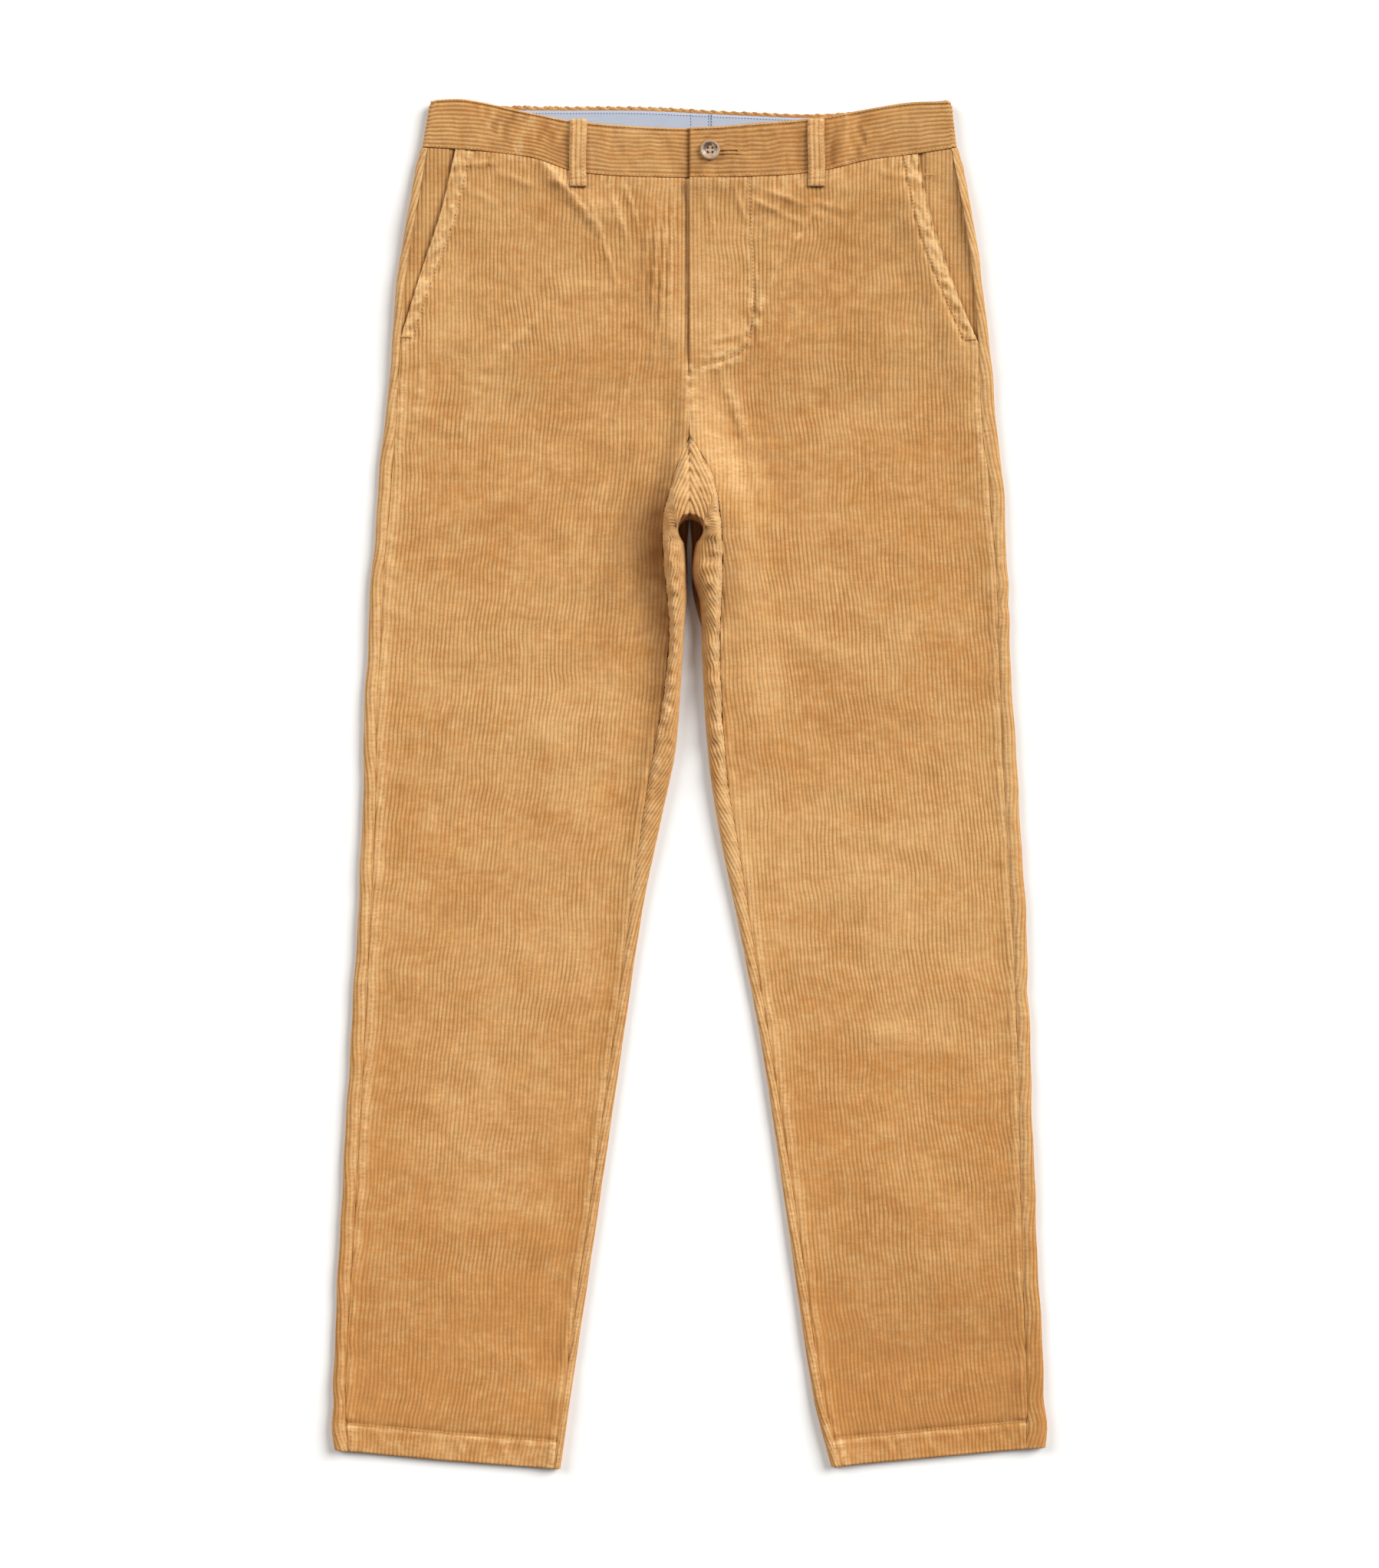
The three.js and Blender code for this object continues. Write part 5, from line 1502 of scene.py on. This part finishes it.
def build_button():
    """The waist button, turned: its height over the radius is a flat underside, a rounded edge, a raised rim
    and a dished face, sunk deep inside each of the four holes."""
    sizes = settings().button
    low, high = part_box("button")
    centre = (low + high) / 2 * MM
    base = low.z * MM
    radius, thick = sizes.across * MM / 2, sizes.thick * MM
    top = table(
        ("r", "z"), (0, thick - 1.2), (0.52, thick - 1.15), (0.62, thick - 0.85), (0.74, thick - 0.2),
        (0.82, thick), (0.90, thick - 0.12), (0.97, thick - 0.8), (1.0, thick * 0.5),
    )
    bottom = table(("r", "z"), (0, 0), (0.72, 0), (0.9, 0.4), (0.97, 0.9), (1.0, thick * 0.5))
    r = np.concatenate([np.linspace(0.0, 0.55, 26), np.linspace(0.57, 1.0, 22)])[:, None]
    a = np.linspace(0, 2 * math.pi, 97)[None, :-1]
    x, y = r * np.cos(a) * radius, r * np.sin(a) * radius
    z_top = np.interp(r, top["r"], top["z"]) + 0 * a
    z_low = np.interp(r, bottom["r"], bottom["z"]) + 0 * a
    place = sizes.hole_place * MM
    for hx in (-place, place):
        for hy in (-place, place):
            inside = 1 - smooth(0.75, 1.05, np.hypot(x - hx, y - hy) / (sizes.hole * MM))
            z_top = mix(z_top, 0.35, inside)
    skin = Skin()
    for z, flip in ((z_top, True), (z_low, False)):
        points = np.stack([x + centre.x, y + centre.y, z + base], -1)
        around = np.concatenate([points, points[:, :1]], axis=1)
        from_centre = around[..., :2] - np.array([centre.x, centre.y])
        grid_patch(skin, around, from_centre, flip=flip)
    piece = cloth_mesh("waist_button", *skin.joined(), horn(), ("button",), "button")
    return piece


def beads(centres, directions, length, thick):
    """Stitches as points and triangles: each one a short bar with four sides and two pointed ends, laid
    along its direction. All bars are one template turned and moved."""
    count = len(centres)
    along_it = directions / np.linalg.norm(directions, axis=1, keepdims=True)
    side = np.cross([0.0, 0.0, 1.0], along_it)
    side = side / np.maximum(np.linalg.norm(side, axis=1, keepdims=True), 1e-9)
    over = np.cross(along_it, side)
    ring = np.array([[1, 0], [0, 1], [-1, 0], [0, -1]]) * thick / 2
    template = [(-0.5 * length, 0, -0.25 * thick)]
    template += [(-0.28 * length, s, o) for s, o in ring] + [(0.28 * length, s, o) for s, o in ring]
    template += [(0.5 * length, 0, -0.25 * thick)]
    t = np.array(template)
    axes = np.stack([along_it, side, over], 1)
    points = centres[:, None, :] + np.einsum("pk,nkc->npc", t, axes)
    tris = []
    for k in range(4):
        n = (k + 1) % 4
        tris += [(0, 1 + n, 1 + k), (1 + k, 1 + n, 5 + n), (1 + k, 5 + n, 5 + k), (9, 5 + k, 5 + n)]
    faces = np.array(tris)[None] + 10 * np.arange(count)[:, None, None]
    return points.reshape(-1, 3), faces.reshape(-1, 3)


def stitch_line(x, y, height, spacing):
    """Centres and directions of the stitches along a line in plan, laid on a height function."""
    s = np.concatenate([[0], np.cumsum(np.hypot(np.diff(x), np.diff(y)))])
    at = np.arange(spacing / 2, s[-1], spacing)
    step = spacing * 0.35
    px, py = np.interp(at, s, x), np.interp(at, s, y)
    ax, ay = np.interp(at - step, s, x), np.interp(at - step, s, y)
    bx, by = np.interp(at + step, s, x), np.interp(at + step, s, y)
    low, high = height(ax, ay), height(bx, by)
    centres = np.stack([px, py, height(px, py)], -1)
    return centres, np.stack([bx - ax, by - ay, high - low], -1)


def bar_tack(x, y, angle, height, long=8.0):
    """A bar of close stitches across a line, as at the ends of a pocket."""
    n = int(long / 0.7)
    t = (np.arange(n) - (n - 1) / 2) * 0.7
    px, py = x + t * math.cos(angle), y + t * math.sin(angle)
    centres = np.stack([px, py, height(px, py) + 0.25], -1)
    across = np.array([-math.sin(angle), math.cos(angle), 0.0])
    return centres, np.broadcast_to(across, centres.shape)


def sew(name, groups, thread, slot="corduroy"):
    """One piece out of groups of stitches, each (centres, directions, length, thickness)."""
    skin = Skin()
    for centres, directions, length, thick in groups:
        points, faces = beads(centres, directions, length, thick)
        skin.add(points, np.zeros((len(points), 3)), faces)
    return cloth_mesh(name, *skin.joined(), thread, (), slot)


def panel_stitches(sign):
    """The stitching on a front panel: hem, pocket mouth, bars at its ends, and on the left the fly."""
    sewing, cloth = settings().sewing, settings().cloth
    step, thread = sewing.stitch * MM, sewing.thread * MM
    pocket = POCKETS[sign]

    def face(x, y):
        return front_face(sign, x, y) + 0.1

    groups = []
    hem_in = line_of(sign, "inseam", np.array([-510.0]))[0]
    hem_out = line_of(sign, "outseam", np.array([-500.0]))[0]
    x = np.linspace(hem_in + sign * 2, hem_out - sign * 2, 60)
    y = hem_line(sign, x) + cloth.hem_depth * MM
    groups.append((*stitch_line(x, y, face, step), step * 0.8, thread))
    y = np.linspace(pocket["y"][0] + 4, 492, 60)
    x = along(pocket, "y", "x", y) - sign * sewing.pocket * MM
    groups.append((*stitch_line(x, y, face, step), step * 0.8, thread))
    low_y = pocket["y"][0] + 3
    low_x = along(pocket, "y", "x", np.array([low_y]))[0]
    groups.append((*bar_tack(low_x - sign * 4.5, low_y, 0.0, face, 9.0), 1.6, thread))
    top_tack = (187.0, 475.5, 0.0) if sign > 0 else (-156.0, 486.5, math.pi / 2)
    groups.append((*bar_tack(*top_tack, face, 8.0), 1.6, thread))
    if sign > 0:
        x, y = fly_path(80)
        groups.append((*stitch_line(x, y, face, step), step * 0.8, thread))
    return sew(f"stitches_front_{SIDE_NAMES[sign]}", groups, tan_thread())


def band_stitches():
    """The stitching along both edges of the band in front, on the belt loops and round the buttonhole."""
    sewing = settings().sewing
    step, thread = sewing.stitch * MM, sewing.thread * MM
    groups = []
    for sign in SIDES:
        end = 3.0 if sign > 0 else -1.0
        x = np.linspace(sign * 203, end, 200)
        inset = sewing.edge * MM / BAND_WIDE
        for up in (inset, 1 - inset):
            y = mix(along(BAND_FRONT, "x", "seam", x), along(BAND_FRONT, "x", "top", x), up)

            def face(px, py, sign=sign, up=up):
                return band_face(px, py, up + 0 * px, sign > 0) + 0.1

            groups.append((*stitch_line(x, y, face, step), step * 0.8, thread))
    for centre, low, high in FRONT_LOOPS.values():

        def loop_top(px, py, centre=centre, low=low, high=high):
            return loop_face(px, py, centre, low, high) + 0.1

        for off in (-4.4, 4.4):
            y = np.linspace(low + 2, high - 2, 40)
            x = centre + off + 0.35 * np.sin(y / 9 + centre)
            groups.append((*stitch_line(x, y, loop_top, step), step * 0.8, thread))

    long = settings().button.buttonhole * MM
    x = np.arange(SLIT_END - long, SLIT_END, 0.75)
    for off in (-1.5, 1.5):
        y = np.full(x.shape, SLIT_Y + off)
        z = band_face(x, y, 0.5 + 0 * x, True)
        across = np.broadcast_to(np.array([0.12, 1.0, 0.0]), (len(x), 3))
        groups.append((np.stack([x, y, z], -1), across, 2.0, 0.7))
    y = np.arange(-2.2, 2.3, 0.7) + SLIT_Y
    x = np.full(y.shape, SLIT_END + 0.4)
    along_x = np.broadcast_to(np.array([1.0, 0.0, 0.0]), (len(y), 3))
    groups.append((np.stack([x, y, band_face(x, y, 0.5 + 0 * x, True)], -1), along_x, 1.8, 0.7))
    return sew("stitches_waistband", groups, tan_thread())


def button_thread():
    """Two strands of thread between the holes of the button."""
    sizes = settings().button
    low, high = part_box("button")
    centre = (low + high) / 2 * MM
    place = sizes.hole_place * MM
    z = low.z * MM + sizes.thick * MM - 0.95
    centres = np.array([[centre.x, centre.y + side, z] for side in (-place, place)])
    across = np.broadcast_to(np.array([1.0, 0.0, 0.0]), centres.shape)
    return sew("button_thread", [(centres, across, 2 * place + 0.4, 0.8)], tan_thread())


def lining_stitches():
    """Blue stitches along the top of the lining and down its two joins."""
    step, thread = settings().sewing.stitch * MM * 0.8, settings().sewing.thread * MM * 0.8
    x = np.linspace(-LINING_REACH + 2, LINING_REACH - 2, 300)
    groups = [(*stitch_line(x, lining_y(x, 0.93 + 0 * x), lining_face, step), step * 0.7, thread)]
    for at in (LINING_SEAM - 1.2, LINING_SEAM + 1.2, 1.0):
        y = lining_y(at + np.zeros(20), np.linspace(0.05, 0.97, 20))
        groups.append((*stitch_line(np.full(20, at), y, lining_face, step), step * 0.7, thread))
    return sew("stitches_lining", groups, blue_thread(), "lining")


class Finish:
    """A node material, with a short way to add each kind of node. Values are numbers, colours or sockets."""

    def __init__(self, name):
        self.made = bpy.data.materials.new(name)
        self.made.use_nodes = True
        self.nodes, self.link = self.made.node_tree.nodes, self.made.node_tree.links.new
        self.shader = self.nodes["Principled BSDF"]

    def node(self, kind, **values):
        """A new node, with settings of its own such as a Math node's operation."""
        made = self.nodes.new(f"ShaderNode{kind}")
        for name, value in values.items():
            setattr(made, name, value)
        return made

    def put(self, value, socket):
        """Sets a socket to a number or a colour, or links it."""
        if isinstance(value, (int, float)):
            socket.default_value = value
        elif isinstance(value, (tuple, list)) or hasattr(value, "r"):
            socket.default_value = (*value[:3], 1.0)
        else:
            self.link(value, socket)

    def surface(self, values):
        """Sets or links the shader's sockets, by name."""
        for name, value in values.items():
            self.put(value, self.shader.inputs[name])

    def place(self):
        """A point's place in its object."""
        return self.node("TexCoord").outputs["Object"]

    def cloth_at(self):
        """A point's cloth coordinates, across and along the wales."""
        return self.node("UVMap", uv_map="cloth").outputs["UV"]

    def split(self, vector):
        """The X, Y and Z of a vector."""
        made = self.node("SeparateXYZ")
        self.link(vector, made.inputs[0])
        return made.outputs

    def math(self, operation, a, b=None, clamp=False):
        """One Math node with one input or two."""
        made = self.node("Math", operation=operation, use_clamp=clamp)
        self.put(a, made.inputs[0])
        if b is not None:
            self.put(b, made.inputs[1])
        return made.outputs[0]

    def vector_math(self, operation, vector):
        """A Vector Math node on one vector."""
        made = self.node("VectorMath", operation=operation)
        self.link(vector, made.inputs[0])
        return made

    def noise(self, vector, scale, detail=3.0, roughness=0.55):
        """The grey output of a noise texture. A scale of three numbers stretches it along the axes."""
        if isinstance(scale, tuple):
            stretched = self.node("Mapping")
            stretched.inputs["Scale"].default_value = scale
            self.link(vector, stretched.inputs["Vector"])
            vector, scale = stretched.outputs["Vector"], 1.0
        made = self.node("TexNoise")
        names = ("Vector", "Scale", "Detail", "Roughness")
        for name, value in zip(names, (vector, scale, detail, roughness), strict=True):
            self.put(value, made.inputs[name])
        return made.outputs["Fac"]

    def ramp(self, value, low, high, out_low=0.0, out_high=1.0):
        """A Map Range node from low..high to out_low..out_high, held at both ends."""
        made = self.node("MapRange")
        names = ("Value", "From Min", "From Max", "To Min", "To Max")
        for name, part in zip(names, (value, low, high, out_low, out_high), strict=True):
            self.put(part, made.inputs[name])
        return made.outputs["Result"]

    def blend(self, share, a, b, mode="MIX"):
        """A colour Mix node: from a to b by the share."""
        made = self.node("Mix", data_type="RGBA", blend_type=mode)
        factor, first, second = 0, 6, 7
        for index, value in ((factor, share), (first, a), (second, b)):
            self.put(value, made.inputs[index])
        return made.outputs[2]

    def bump(self, height, strength, distance):
        """Fine relief on the surface."""
        made = self.node("Bump")
        for name, value in (("Height", height), ("Strength", strength), ("Distance", distance)):
            self.put(value, made.inputs[name])
        self.surface({"Normal": made.outputs["Normal"]})


def corduroy():
    """Cotton corduroy: wales and grooves from the cloth coordinates, cloudy patches where the nap lies light
    or deep, bars and tufts across the pile, rubbed places and painted highlights where each point's wear
    value is raised, painted shade where it is below zero, and a soft sheen."""
    if "corduroy_tan" in bpy.data.materials:
        return bpy.data.materials["corduroy_tan"]
    colours, cloth = settings().colours, settings().cloth
    made = Finish("corduroy_tan")
    place, cloth_at = made.place(), made.cloth_at()
    turn = made.math("MULTIPLY", made.split(cloth_at)["X"], math.pi / cloth.wale_pitch)
    height = made.math("ABSOLUTE", made.math("SINE", turn))
    fibres = made.noise(place, 1400.0, 2.0)
    tufts = made.noise(cloth_at, (260.0, 620.0, 1.0), 2.0)
    weft = made.noise(cloth_at, (16.0, 210.0, 1.0))
    broad = made.noise(place, 7.0, 2.0)
    clouds = made.noise(place, (24.0, 44.0, 24.0), 4.0, 0.6)
    lie = made.noise(place, (34.0, 20.0, 24.0))
    crumple = made.noise(cloth_at, (95.0, 180.0, 1.0), 4.0, 0.65)
    dashes = made.noise(cloth_at, (150.0, 430.0, 1.0), 3.0, 0.6)
    streaks = made.noise(cloth_at, (300.0, 55.0, 1.0))
    worn_and_painted_light = made.node("Attribute", attribute_name="wear_and_painted_light").outputs["Fac"]

    nap = made.math("ADD", made.ramp(clouds, 0.20, 0.82), made.ramp(broad, 0.35, 0.65, -0.25, 0.25))
    nap = made.math("ADD", nap, made.ramp(crumple, 0.3, 0.7, -0.45, 0.45))
    lower_leg = made.ramp(made.split(place)["Y"], -0.52, -0.10, -0.50, 0.10)
    nap = made.math("ADD", nap, lower_leg, clamp=True)
    full = made.ramp(tufts, 0.25, 0.6, 0.70, 1.0)
    pile = made.math("MULTIPLY", made.ramp(height, 0.10, 0.95), full, clamp=True)
    shallow = made.ramp(lie, 0.35, 0.65, 0.05, 0.40)
    # Between the wales the groove colour: the ground's own colour, and partly painted shade of the groove.
    bare = made.math("MULTIPLY", made.math("SUBTRACT", 1.0, pile), made.math("SUBTRACT", 1.0, shallow))
    colour = made.blend(bare, made.blend(nap, colours.deep_nap, colours.light_nap), colours.groove)

    # Rubbed pile and painted highlight: the worn colour goes where the wear value is raised, partly by
    # painted light on faces turned to the lamps.
    rubbed_and_lit = made.math("MULTIPLY", worn_and_painted_light, made.ramp(dashes, 0.36, 0.60, 0.25, 1.35), clamp=True)
    rubbed_and_lit = made.math("MULTIPLY", rubbed_and_lit, made.ramp(bare, 0.0, 1.0, 1.0, 0.6))
    colour = made.blend(rubbed_and_lit, colour, colours.worn_and_painted_light)
    shade = made.ramp(weft, 0.25, 0.75, 0.95, 1.04)
    shade = made.math("MULTIPLY", shade, made.ramp(streaks, 0.25, 0.75, 0.88, 1.10))
    shade = made.math("MULTIPLY", shade, made.ramp(fibres, 0.2, 0.8, 0.92, 1.08))
    grey = made.node("CombineColor")
    for channel in grey.inputs:
        made.link(shade, channel)
    colour = made.blend(1.0, colour, grey.outputs[0], "MULTIPLY")
    # Painted shade: the shadow colour where the wear value is below zero.
    colour = made.blend(made.ramp(worn_and_painted_light, -2.0, 0.0, 0.88, 0.0), colour, colours.shadow)
    made.surface(
        {
            "Base Color": colour,
            "Roughness": 0.92,
            "Specular IOR Level": 0.15,
            "Sheen Weight": 0.12,
            "Sheen Roughness": 0.5,
            "Sheen Tint": (1.0, 0.85, 0.65),
        }
    )
    made.bump(made.math("ADD", made.math("MULTIPLY", tufts, 1.2), fibres), 0.5, 0.0004)
    return made.made


def plain_thread(name, colour):
    """Sewing thread: one colour, faintly mottled, with a soft gloss."""
    if name in bpy.data.materials:
        return bpy.data.materials[name]
    made = Finish(name)
    fleck = made.noise(made.place(), 900.0, 2.0)
    mottled = made.blend(fleck, tuple(c * 0.75 for c in colour), tuple(colour))
    made.surface({"Base Color": mottled, "Roughness": 0.75, "Specular IOR Level": 0.2})
    return made.made


def tan_thread():
    """The thread of the seams."""
    return plain_thread("thread_tan", settings().colours.thread)


def blue_thread():
    """The thread of the lining."""
    return plain_thread("thread_blue", settings().colours.lining_thread)


def chambray():
    """Pale blue plain weave: blue warp and white weft as two crossed sets of fine waves, with slubs."""
    if "lining_blue" in bpy.data.materials:
        return bpy.data.materials["lining_blue"]
    made = Finish("lining_blue")
    place = made.place()
    across = made.split(place)
    threads = math.pi / 0.0005
    warp, weft = (made.math("SINE", made.math("MULTIPLY", across[axis], threads)) for axis in ("X", "Y"))
    weave = made.math("MULTIPLY", warp, weft)
    slubs = made.noise(place, (60.0, 1500.0, 1.0))
    base = settings().colours.lining
    light = tuple(min(1, c * 1.16) for c in base)
    deep = tuple(c * f for c, f in zip(base, (0.72, 0.80, 0.92), strict=True))
    lightness = made.math("ADD", made.ramp(weave, -1.0, 1.0, 0.0, 0.5), made.ramp(slubs, 0.2, 0.8, 0.0, 0.5))
    made.surface({"Base Color": made.blend(lightness, deep, light), "Roughness": 0.85})
    made.bump(weave, 0.3, 0.0001)
    return made.made


def zip_tape():
    """Brown woven tape, herringbone."""
    made = Finish("zip_tape")
    wave = made.node("TexWave")
    for name, value in (("Vector", made.place()), ("Scale", 260.0), ("Distortion", 1.5)):
        made.put(value, wave.inputs[name])
    woven = made.blend(wave.outputs["Fac"], (0.16, 0.09, 0.04), (0.26, 0.16, 0.08))
    made.surface({"Base Color": woven, "Roughness": 0.8})
    return made.made


def horn():
    """Polished button: mottled with light and dark clouds and flecks, darker in its upper part, lighter at
    the rim and in the middle, with painted shade, nearly black, inside the holes, under a clear gloss."""
    made = Finish("button_horn")
    colours, sizes = settings().colours, settings().button
    half = sizes.across / 2
    place, from_centre = made.place(), made.cloth_at()
    patch = made.noise(place, 210.0, 3.0, 0.6)
    fleck = made.noise(place, 520.0, 2.0, 0.5)
    reach = made.vector_math("LENGTH", from_centre).outputs["Value"]
    upper = made.math("MULTIPLY", made.split(from_centre)["Y"], -0.12 / half)
    mottle = made.ramp(made.math("ADD", patch, upper), 0.40, 0.56)
    colour = made.blend(mottle, colours.button_dark, colours.button)
    colour = made.blend(made.ramp(fleck, 0.55, 0.72, 0.0, 0.8), colour, (0.62, 0.50, 0.38))
    colour = made.blend(made.ramp(reach, half * 0.72, half * 0.86, 0.0, 0.7), colour, (0.50, 0.34, 0.22))
    colour = made.blend(made.ramp(reach, half * 0.30, half * 0.46, 0.75, 0.0), colour, (0.60, 0.46, 0.33))
    folded = made.vector_math("ABSOLUTE", from_centre).outputs[0]
    to_hole = made.vector_math("DISTANCE", folded)
    to_hole.inputs[1].default_value = (sizes.hole_place, sizes.hole_place, 0.0)
    # Painted shade: the holes are painted nearly black.
    in_hole = made.ramp(to_hole.outputs["Value"], sizes.hole * 0.8, sizes.hole * 1.1, 1.0, 0.0)
    colour = made.blend(in_hole, colour, (0.03, 0.02, 0.015))
    made.surface({"Base Color": colour, "Roughness": 0.3, "Coat Weight": 0.25, "Coat Roughness": 0.12})
    return made.made


def setup_stage():
    """A white floor, faint light from all round, a soft light on either side, and the camera overhead."""
    stage = settings().stage
    floor_mesh = bpy.data.meshes.new("floor")
    floor_mesh.from_pydata([(-4, -4, 0), (4, -4, 0), (4, 4, 0), (-4, 4, 0)], [], [(0, 1, 2, 3)])
    floor = bpy.data.objects.new("floor", floor_mesh)
    bpy.context.scene.collection.objects.link(floor)
    finish = Finish("floor_white")
    finish.surface({"Base Color": (0.93, 0.93, 0.93), "Roughness": 0.9, "Specular IOR Level": 0.0})
    floor_mesh.materials.append(finish.made)
    world = bpy.data.worlds.new("studio")
    world.use_nodes = True
    around = world.node_tree.nodes["Background"].inputs
    around["Color"].default_value = (1.0, 1.0, 1.0, 1)
    around["Strength"].default_value = stage.fill
    bpy.context.scene.world = world
    for name, energy, around in (("key", stage.key, 32), ("second", stage.second, 150)):
        lamp = bpy.data.lights.new(name, "SUN")
        lamp.energy = energy
        lamp.angle = math.radians(36)
        lamp.color = (1.0, 0.99, 0.97)
        light = bpy.data.objects.new(name, lamp)
        light.rotation_euler = (0.0, math.pi / 2 - stage.key_height, math.radians(around))
        bpy.context.scene.collection.objects.link(light)
    data = bpy.data.cameras.new("camera")
    data.lens = data.sensor_width * (stage.camera_height - 0.006) / stage.view_long
    data.clip_start, data.clip_end = 0.1, 20
    camera = bpy.data.objects.new("camera", data)
    camera.location = (0.0, -0.0003, stage.camera_height)
    bpy.context.scene.collection.objects.link(camera)
    bpy.context.scene.camera = camera
    bpy.context.scene.view_settings.view_transform = "Standard"


class TROUSERS_OT_stage(Operator):
    """Add the floor, the lights and the camera"""

    bl_idname = "trousers.stage"
    bl_label = "Stage"

    def execute(self, context):
        setup_stage()
        return {"FINISHED"}


class TROUSERS_OT_fronts(Operator):
    """Add the two front panels"""

    bl_idname = "trousers.fronts"
    bl_label = "Front panels"

    def execute(self, context):
        for sign in SIDES:
            build_front(sign)
        return {"FINISHED"}


class TROUSERS_OT_backs(Operator):
    """Add the two back panels"""

    bl_idname = "trousers.backs"
    bl_label = "Back panels"

    def execute(self, context):
        for sign in SIDES:
            build_back(sign)
        return {"FINISHED"}


class TROUSERS_OT_facings(Operator):
    """Add the facings in the two pocket mouths"""

    bl_idname = "trousers.facings"
    bl_label = "Pocket facings"

    def execute(self, context):
        for sign in SIDES:
            build_facing(sign)
        return {"FINISHED"}


class TROUSERS_OT_waistband(Operator):
    """Add both halves of the waistband and its lining"""

    bl_idname = "trousers.waistband"
    bl_label = "Waistband"

    def execute(self, context):
        for sign in SIDES:
            build_waistband(sign)
        build_lining(-LINING_REACH, LINING_SEAM - GAP / 2, "waistband_lining_right")
        build_lining(LINING_SEAM + GAP / 2, LINING_REACH, "waistband_lining_left")
        return {"FINISHED"}


class TROUSERS_OT_belt_loops(Operator):
    """Add the two belt loops in front and the three at the back"""

    bl_idname = "trousers.belt_loops"
    bl_label = "Belt loops"

    def execute(self, context):
        for name, place in FRONT_LOOPS.items():
            build_front_loop(name, *place)
        for name, place in BACK_LOOPS.items():
            build_back_loop(name, *place)
        return {"FINISHED"}


class TROUSERS_OT_fastening(Operator):
    """Add the zip, the button and its thread"""

    bl_idname = "trousers.fastening"
    bl_label = "Zip and button"

    def execute(self, context):
        build_zip()
        build_button()
        button_thread()
        return {"FINISHED"}


class TROUSERS_OT_stitching(Operator):
    """Add the stitching"""

    bl_idname = "trousers.stitching"
    bl_label = "Stitching"

    def execute(self, context):
        for sign in SIDES:
            panel_stitches(sign)
        band_stitches()
        lining_stitches()
        return {"FINISHED"}


class TROUSERS_PT_panel(Panel):
    """Lists the steps that build the trousers"""

    bl_idname = "TROUSERS_PT_panel"
    bl_label = "Trousers"
    bl_space_type = "VIEW_3D"
    bl_region_type = "UI"
    bl_category = "Trousers"

    def draw(self, context):
        for step in STEPS:
            self.layout.operator(step.bl_idname)


GROUPS = (ClothSizes, SewingSizes, ButtonSizes, Colours, StageSizes, TrouserSettings)
STEPS = (
    TROUSERS_OT_stage,
    TROUSERS_OT_fronts,
    TROUSERS_OT_backs,
    TROUSERS_OT_facings,
    TROUSERS_OT_waistband,
    TROUSERS_OT_belt_loops,
    TROUSERS_OT_fastening,
    TROUSERS_OT_stitching,
)


def register():
    """Makes the settings, the steps and the panel known."""
    for cls in (*GROUPS, *STEPS, TROUSERS_PT_panel):
        bpy.utils.register_class(cls)
    bpy.types.Scene.trousers = PointerProperty(type=TrouserSettings)


def unregister():
    """Takes them away again."""
    del bpy.types.Scene.trousers
    for cls in reversed((*GROUPS, *STEPS, TROUSERS_PT_panel)):
        bpy.utils.unregister_class(cls)


def main():
    """Builds the stage and every piece."""
    register()
    for step in STEPS:
        group, name = step.bl_idname.split(".")
        getattr(getattr(bpy.ops, group), name)()


if __name__ == "__main__":
    main()
